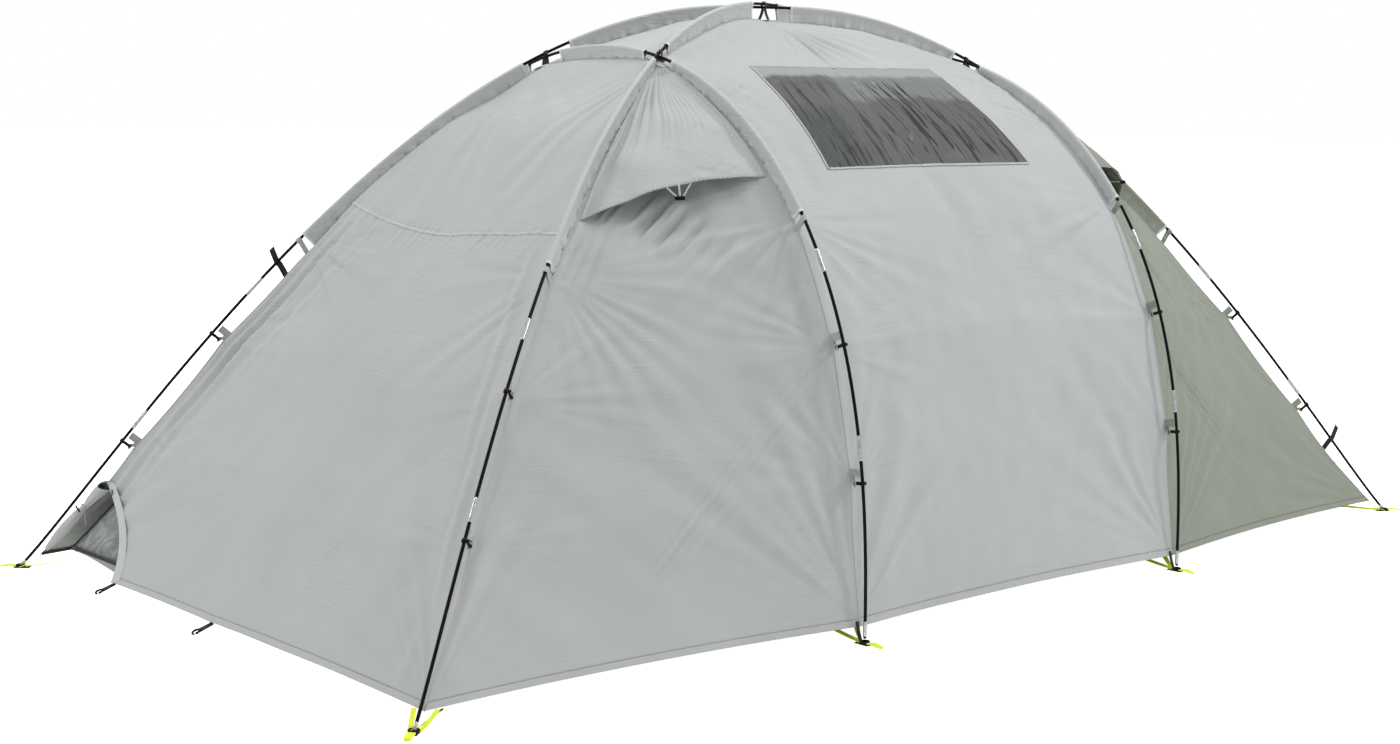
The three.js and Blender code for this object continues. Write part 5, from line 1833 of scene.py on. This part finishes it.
def inner_ring(height):
    """The inner tent's outline at a height. It starts and stops in the middle of the left end."""
    corners = []
    for key in INNER_LEGS:
        leg = LEGS[key]
        cloth = leg.pole.cloth(leg.share(np.linspace(0.02, leg.half, 800)))
        point = np.array([np.interp(height, cloth[:, 2], cloth[:, k]) for k in range(3)])
        pull = INNER["inset"] if leg.kind == "hoop" else INNER["corner_inset"]
        corners.append(point - np.array([leg.sx * pull, leg.sy * pull, 0]))
    start = (corners[0] + corners[-1]) / 2
    edge = np.array([0, 0.001, 0])
    return np.array([start - edge, *corners, start + edge])


def add_inner():
    """The inner tent's net skin, with an open doorway and binding on its seams."""
    heights = np.linspace(FLOOR["wall"] + 0.004, INNER["top"], WALL_RINGS)
    rings = [inner_ring(height) for height in heights]
    share, rim = INNER["crown_share"], rings[-1]
    for step in np.linspace(0.1, 1, 8):
        scale = 1 - (1 - share) * step
        rise = INNER["crown"] * math.sin(step * math.pi / 2)
        rings.append(rim * np.array([scale, scale, 1]) + UP * rise)
    rings = np.array(rings)
    stops = np.arange(rings.shape[1])
    around = np.linspace(0, stops[-1], 244)
    grid = np.stack(
        [[np.interp(around, stops, row[:, k]) for k in range(3)] for row in rings]
    ).transpose(2, 0, 1)
    slack = np.sin(np.pi * (around % 1))[:, None] * np.sin(np.linspace(0, np.pi, len(rings)))[None]
    inwards = unit(grid * np.array([1, 1, 0]))
    wrinkles = 0.006 * swell(grid, 921, 0.12) + 0.01 * swell(grid, 923, 0.4)
    grid = grid - inwards * (0.015 * slack + wrinkles * slack)[..., None]
    height = grid[:-1, :-1, 2]
    from_middle = np.minimum(around[:-1], stops[-1] - around[:-1])[:, None]
    keep = ~((from_middle < DOORWAY["half"]) & (height < DOORWAY["height"]))
    shape = Shape()
    flat = np.stack(np.meshgrid(around * 1.1, np.arange(len(rings)) * 0.05, indexing="ij"), -1)
    shape.sheet(grid, flat, keep=keep)
    piece = thicken(shape.make("inner_tent_net", [INNER_NET], "inner_mesh"), 0.0008)
    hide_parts("inner_tent")
    area = area_of(grid)
    flat = (9.6, round(area / 9.6 * 1.25, 3))
    shape = Shape()
    for index in stops[1:-1]:
        line = rings[:WALL_RINGS, index]
        tangent = direction(line)
        side = unit(np.cross(tangent, line * np.array([1, 1, 0])))
        shape.sweep(line, side, np.cross(tangent, side), rounded(0.014, 0.003, 0.0012, 2))
    hem_line = grid[:, 0]
    side = unit(np.cross(direction(hem_line), UP))
    shape.sweep(hem_line, side, UP, rounded(0.003, 0.016, 0.0012, 2))
    shape.make("inner_tent_binding", [WEBBING], "webbing")


def add_floor():
    """The inner tent's ground cloth, with a low wall all round."""
    quarter = [FLOOR["corner"], FLOOR["hoop"]]
    far = quarter + [(-x, y) for x, y in quarter[::-1]]
    outline = np.array(far + [(-x, -y) for x, y in far] + far[:1])
    turns = np.linspace(0, len(outline) - 1, 241)
    edge = np.stack([np.interp(turns, range(len(outline)), outline[:, k]) for k in range(2)], -1)
    level = np.linspace(0.0, 0.96, 40)
    scales = np.array([*level, 0.985, 0.996, 1, 1, 1, 1])
    walls = np.array([*level * 0, 0, 0.002, 0.008, 0.025, 0.045, FLOOR["wall"]])
    grid = np.zeros((len(edge), len(scales), 3))
    grid[..., :2] = edge[:, None] * scales[None, :, None]
    flatness = ramp(1.0, 0.9, scales)[None]
    grid[..., 2] = 0.0016 + walls[None] + 0.0035 * flatness * np.abs(swell(grid, 931, 0.3))
    # The strap at the open corner holds the floor's corner off the ground.
    apart = np.linalg.norm(grid[..., :2] - FLOOR["corner"] * np.array([-1, 1]), axis=-1)
    raised = 0.058 * np.exp(-((apart / 0.36) ** 2))
    grid[..., 2] += raised * np.clip(1 - grid[..., 2] / FLOOR["wall"], 0, 1)
    shape = Shape()
    shape.sheet(grid, grid[..., :2])
    piece = thicken(shape.make("inner_floor_cloth", [GROUND_CLOTH], "floor_cloth"), 0.001)
    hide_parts("inner_floor")


add_inner()
add_floor()

# ---------- Light and floor ----------

FLOOR_GLOW = 0.25  # light from the floor on the tent; the camera sees a fully white floor
# Each light's name, place, the height over the origin that it points at, diameter and power.
LIGHTS = (
    ("key", (5.0, -6.0, 7.0), 0.6, 2.0, 320),
    ("left", (-7.0, 4.0, 5.5), 0.7, 2.5, 190),
    ("top", (0.0, -0.5, 8.0), 0.7, 4.0, 240),
    ("back", (1.0, 8.0, 6.0), 0.7, 6.0, 120),
)


def add_lights():
    for name, at, height, size, power in LIGHTS:
        data = bpy.data.lights.new(name, "AREA")
        data.shape, data.size, data.energy = "DISK", size, power
        back = -unit(UP * height - np.array(at))
        side = unit(np.cross(UP, back))
        put(name, data, at, side, np.cross(back, side), back)


def add_stage():
    mesh = bpy.data.meshes.new("floor")
    rim = [(60 * math.cos(a), 60 * math.sin(a), 0) for a in np.linspace(0, 2 * math.pi, 97)[:-1]]
    mesh.from_pydata(rim, [], [tuple(range(len(rim)))])
    look = Look("floor_pale")
    place, _ = look.positions()
    patches = look.noise(place, 0.7, 2)
    look.link(look.blend_colors(patches, (0.93, 0.93, 0.93), (0.96, 0.96, 0.96)), "Base Color")
    look.set(Roughness=0.9, Specular_IOR_Level=0.1, Emission_Color=(1, 1, 1, 1))
    seen = look.add("LightPath").outputs["Is Camera Ray"]
    look.link(look.spread(seen, 0, 1, FLOOR_GLOW, 1.0), "Emission Strength")
    mesh.materials.append(look.material)
    floor = bpy.data.objects.new("floor", mesh)
    floor.location.z = -0.0005
    bpy.context.scene.collection.objects.link(floor)

    world = bpy.data.worlds.new("studio")
    world.use_nodes = True
    nodes, links = world.node_tree.nodes, world.node_tree.links
    soft = nodes["Background"]
    soft.inputs["Color"].default_value = (0.98, 0.99, 1.0, 1)
    soft.inputs["Strength"].default_value = 0.4
    white = nodes.new("ShaderNodeBackground")
    white.inputs["Color"].default_value = (1, 1, 1, 1)
    rays = nodes.new("ShaderNodeLightPath")
    mixed = nodes.new("ShaderNodeMixShader")
    links.new(rays.outputs["Is Camera Ray"], mixed.inputs[0])
    links.new(soft.outputs[0], mixed.inputs[1])
    links.new(white.outputs[0], mixed.inputs[2])
    links.new(mixed.outputs[0], nodes["World Output"].inputs["Surface"])
    bpy.context.scene.world = world


add_stage()
add_lights()
bpy.context.scene.view_settings.view_transform = "Standard"
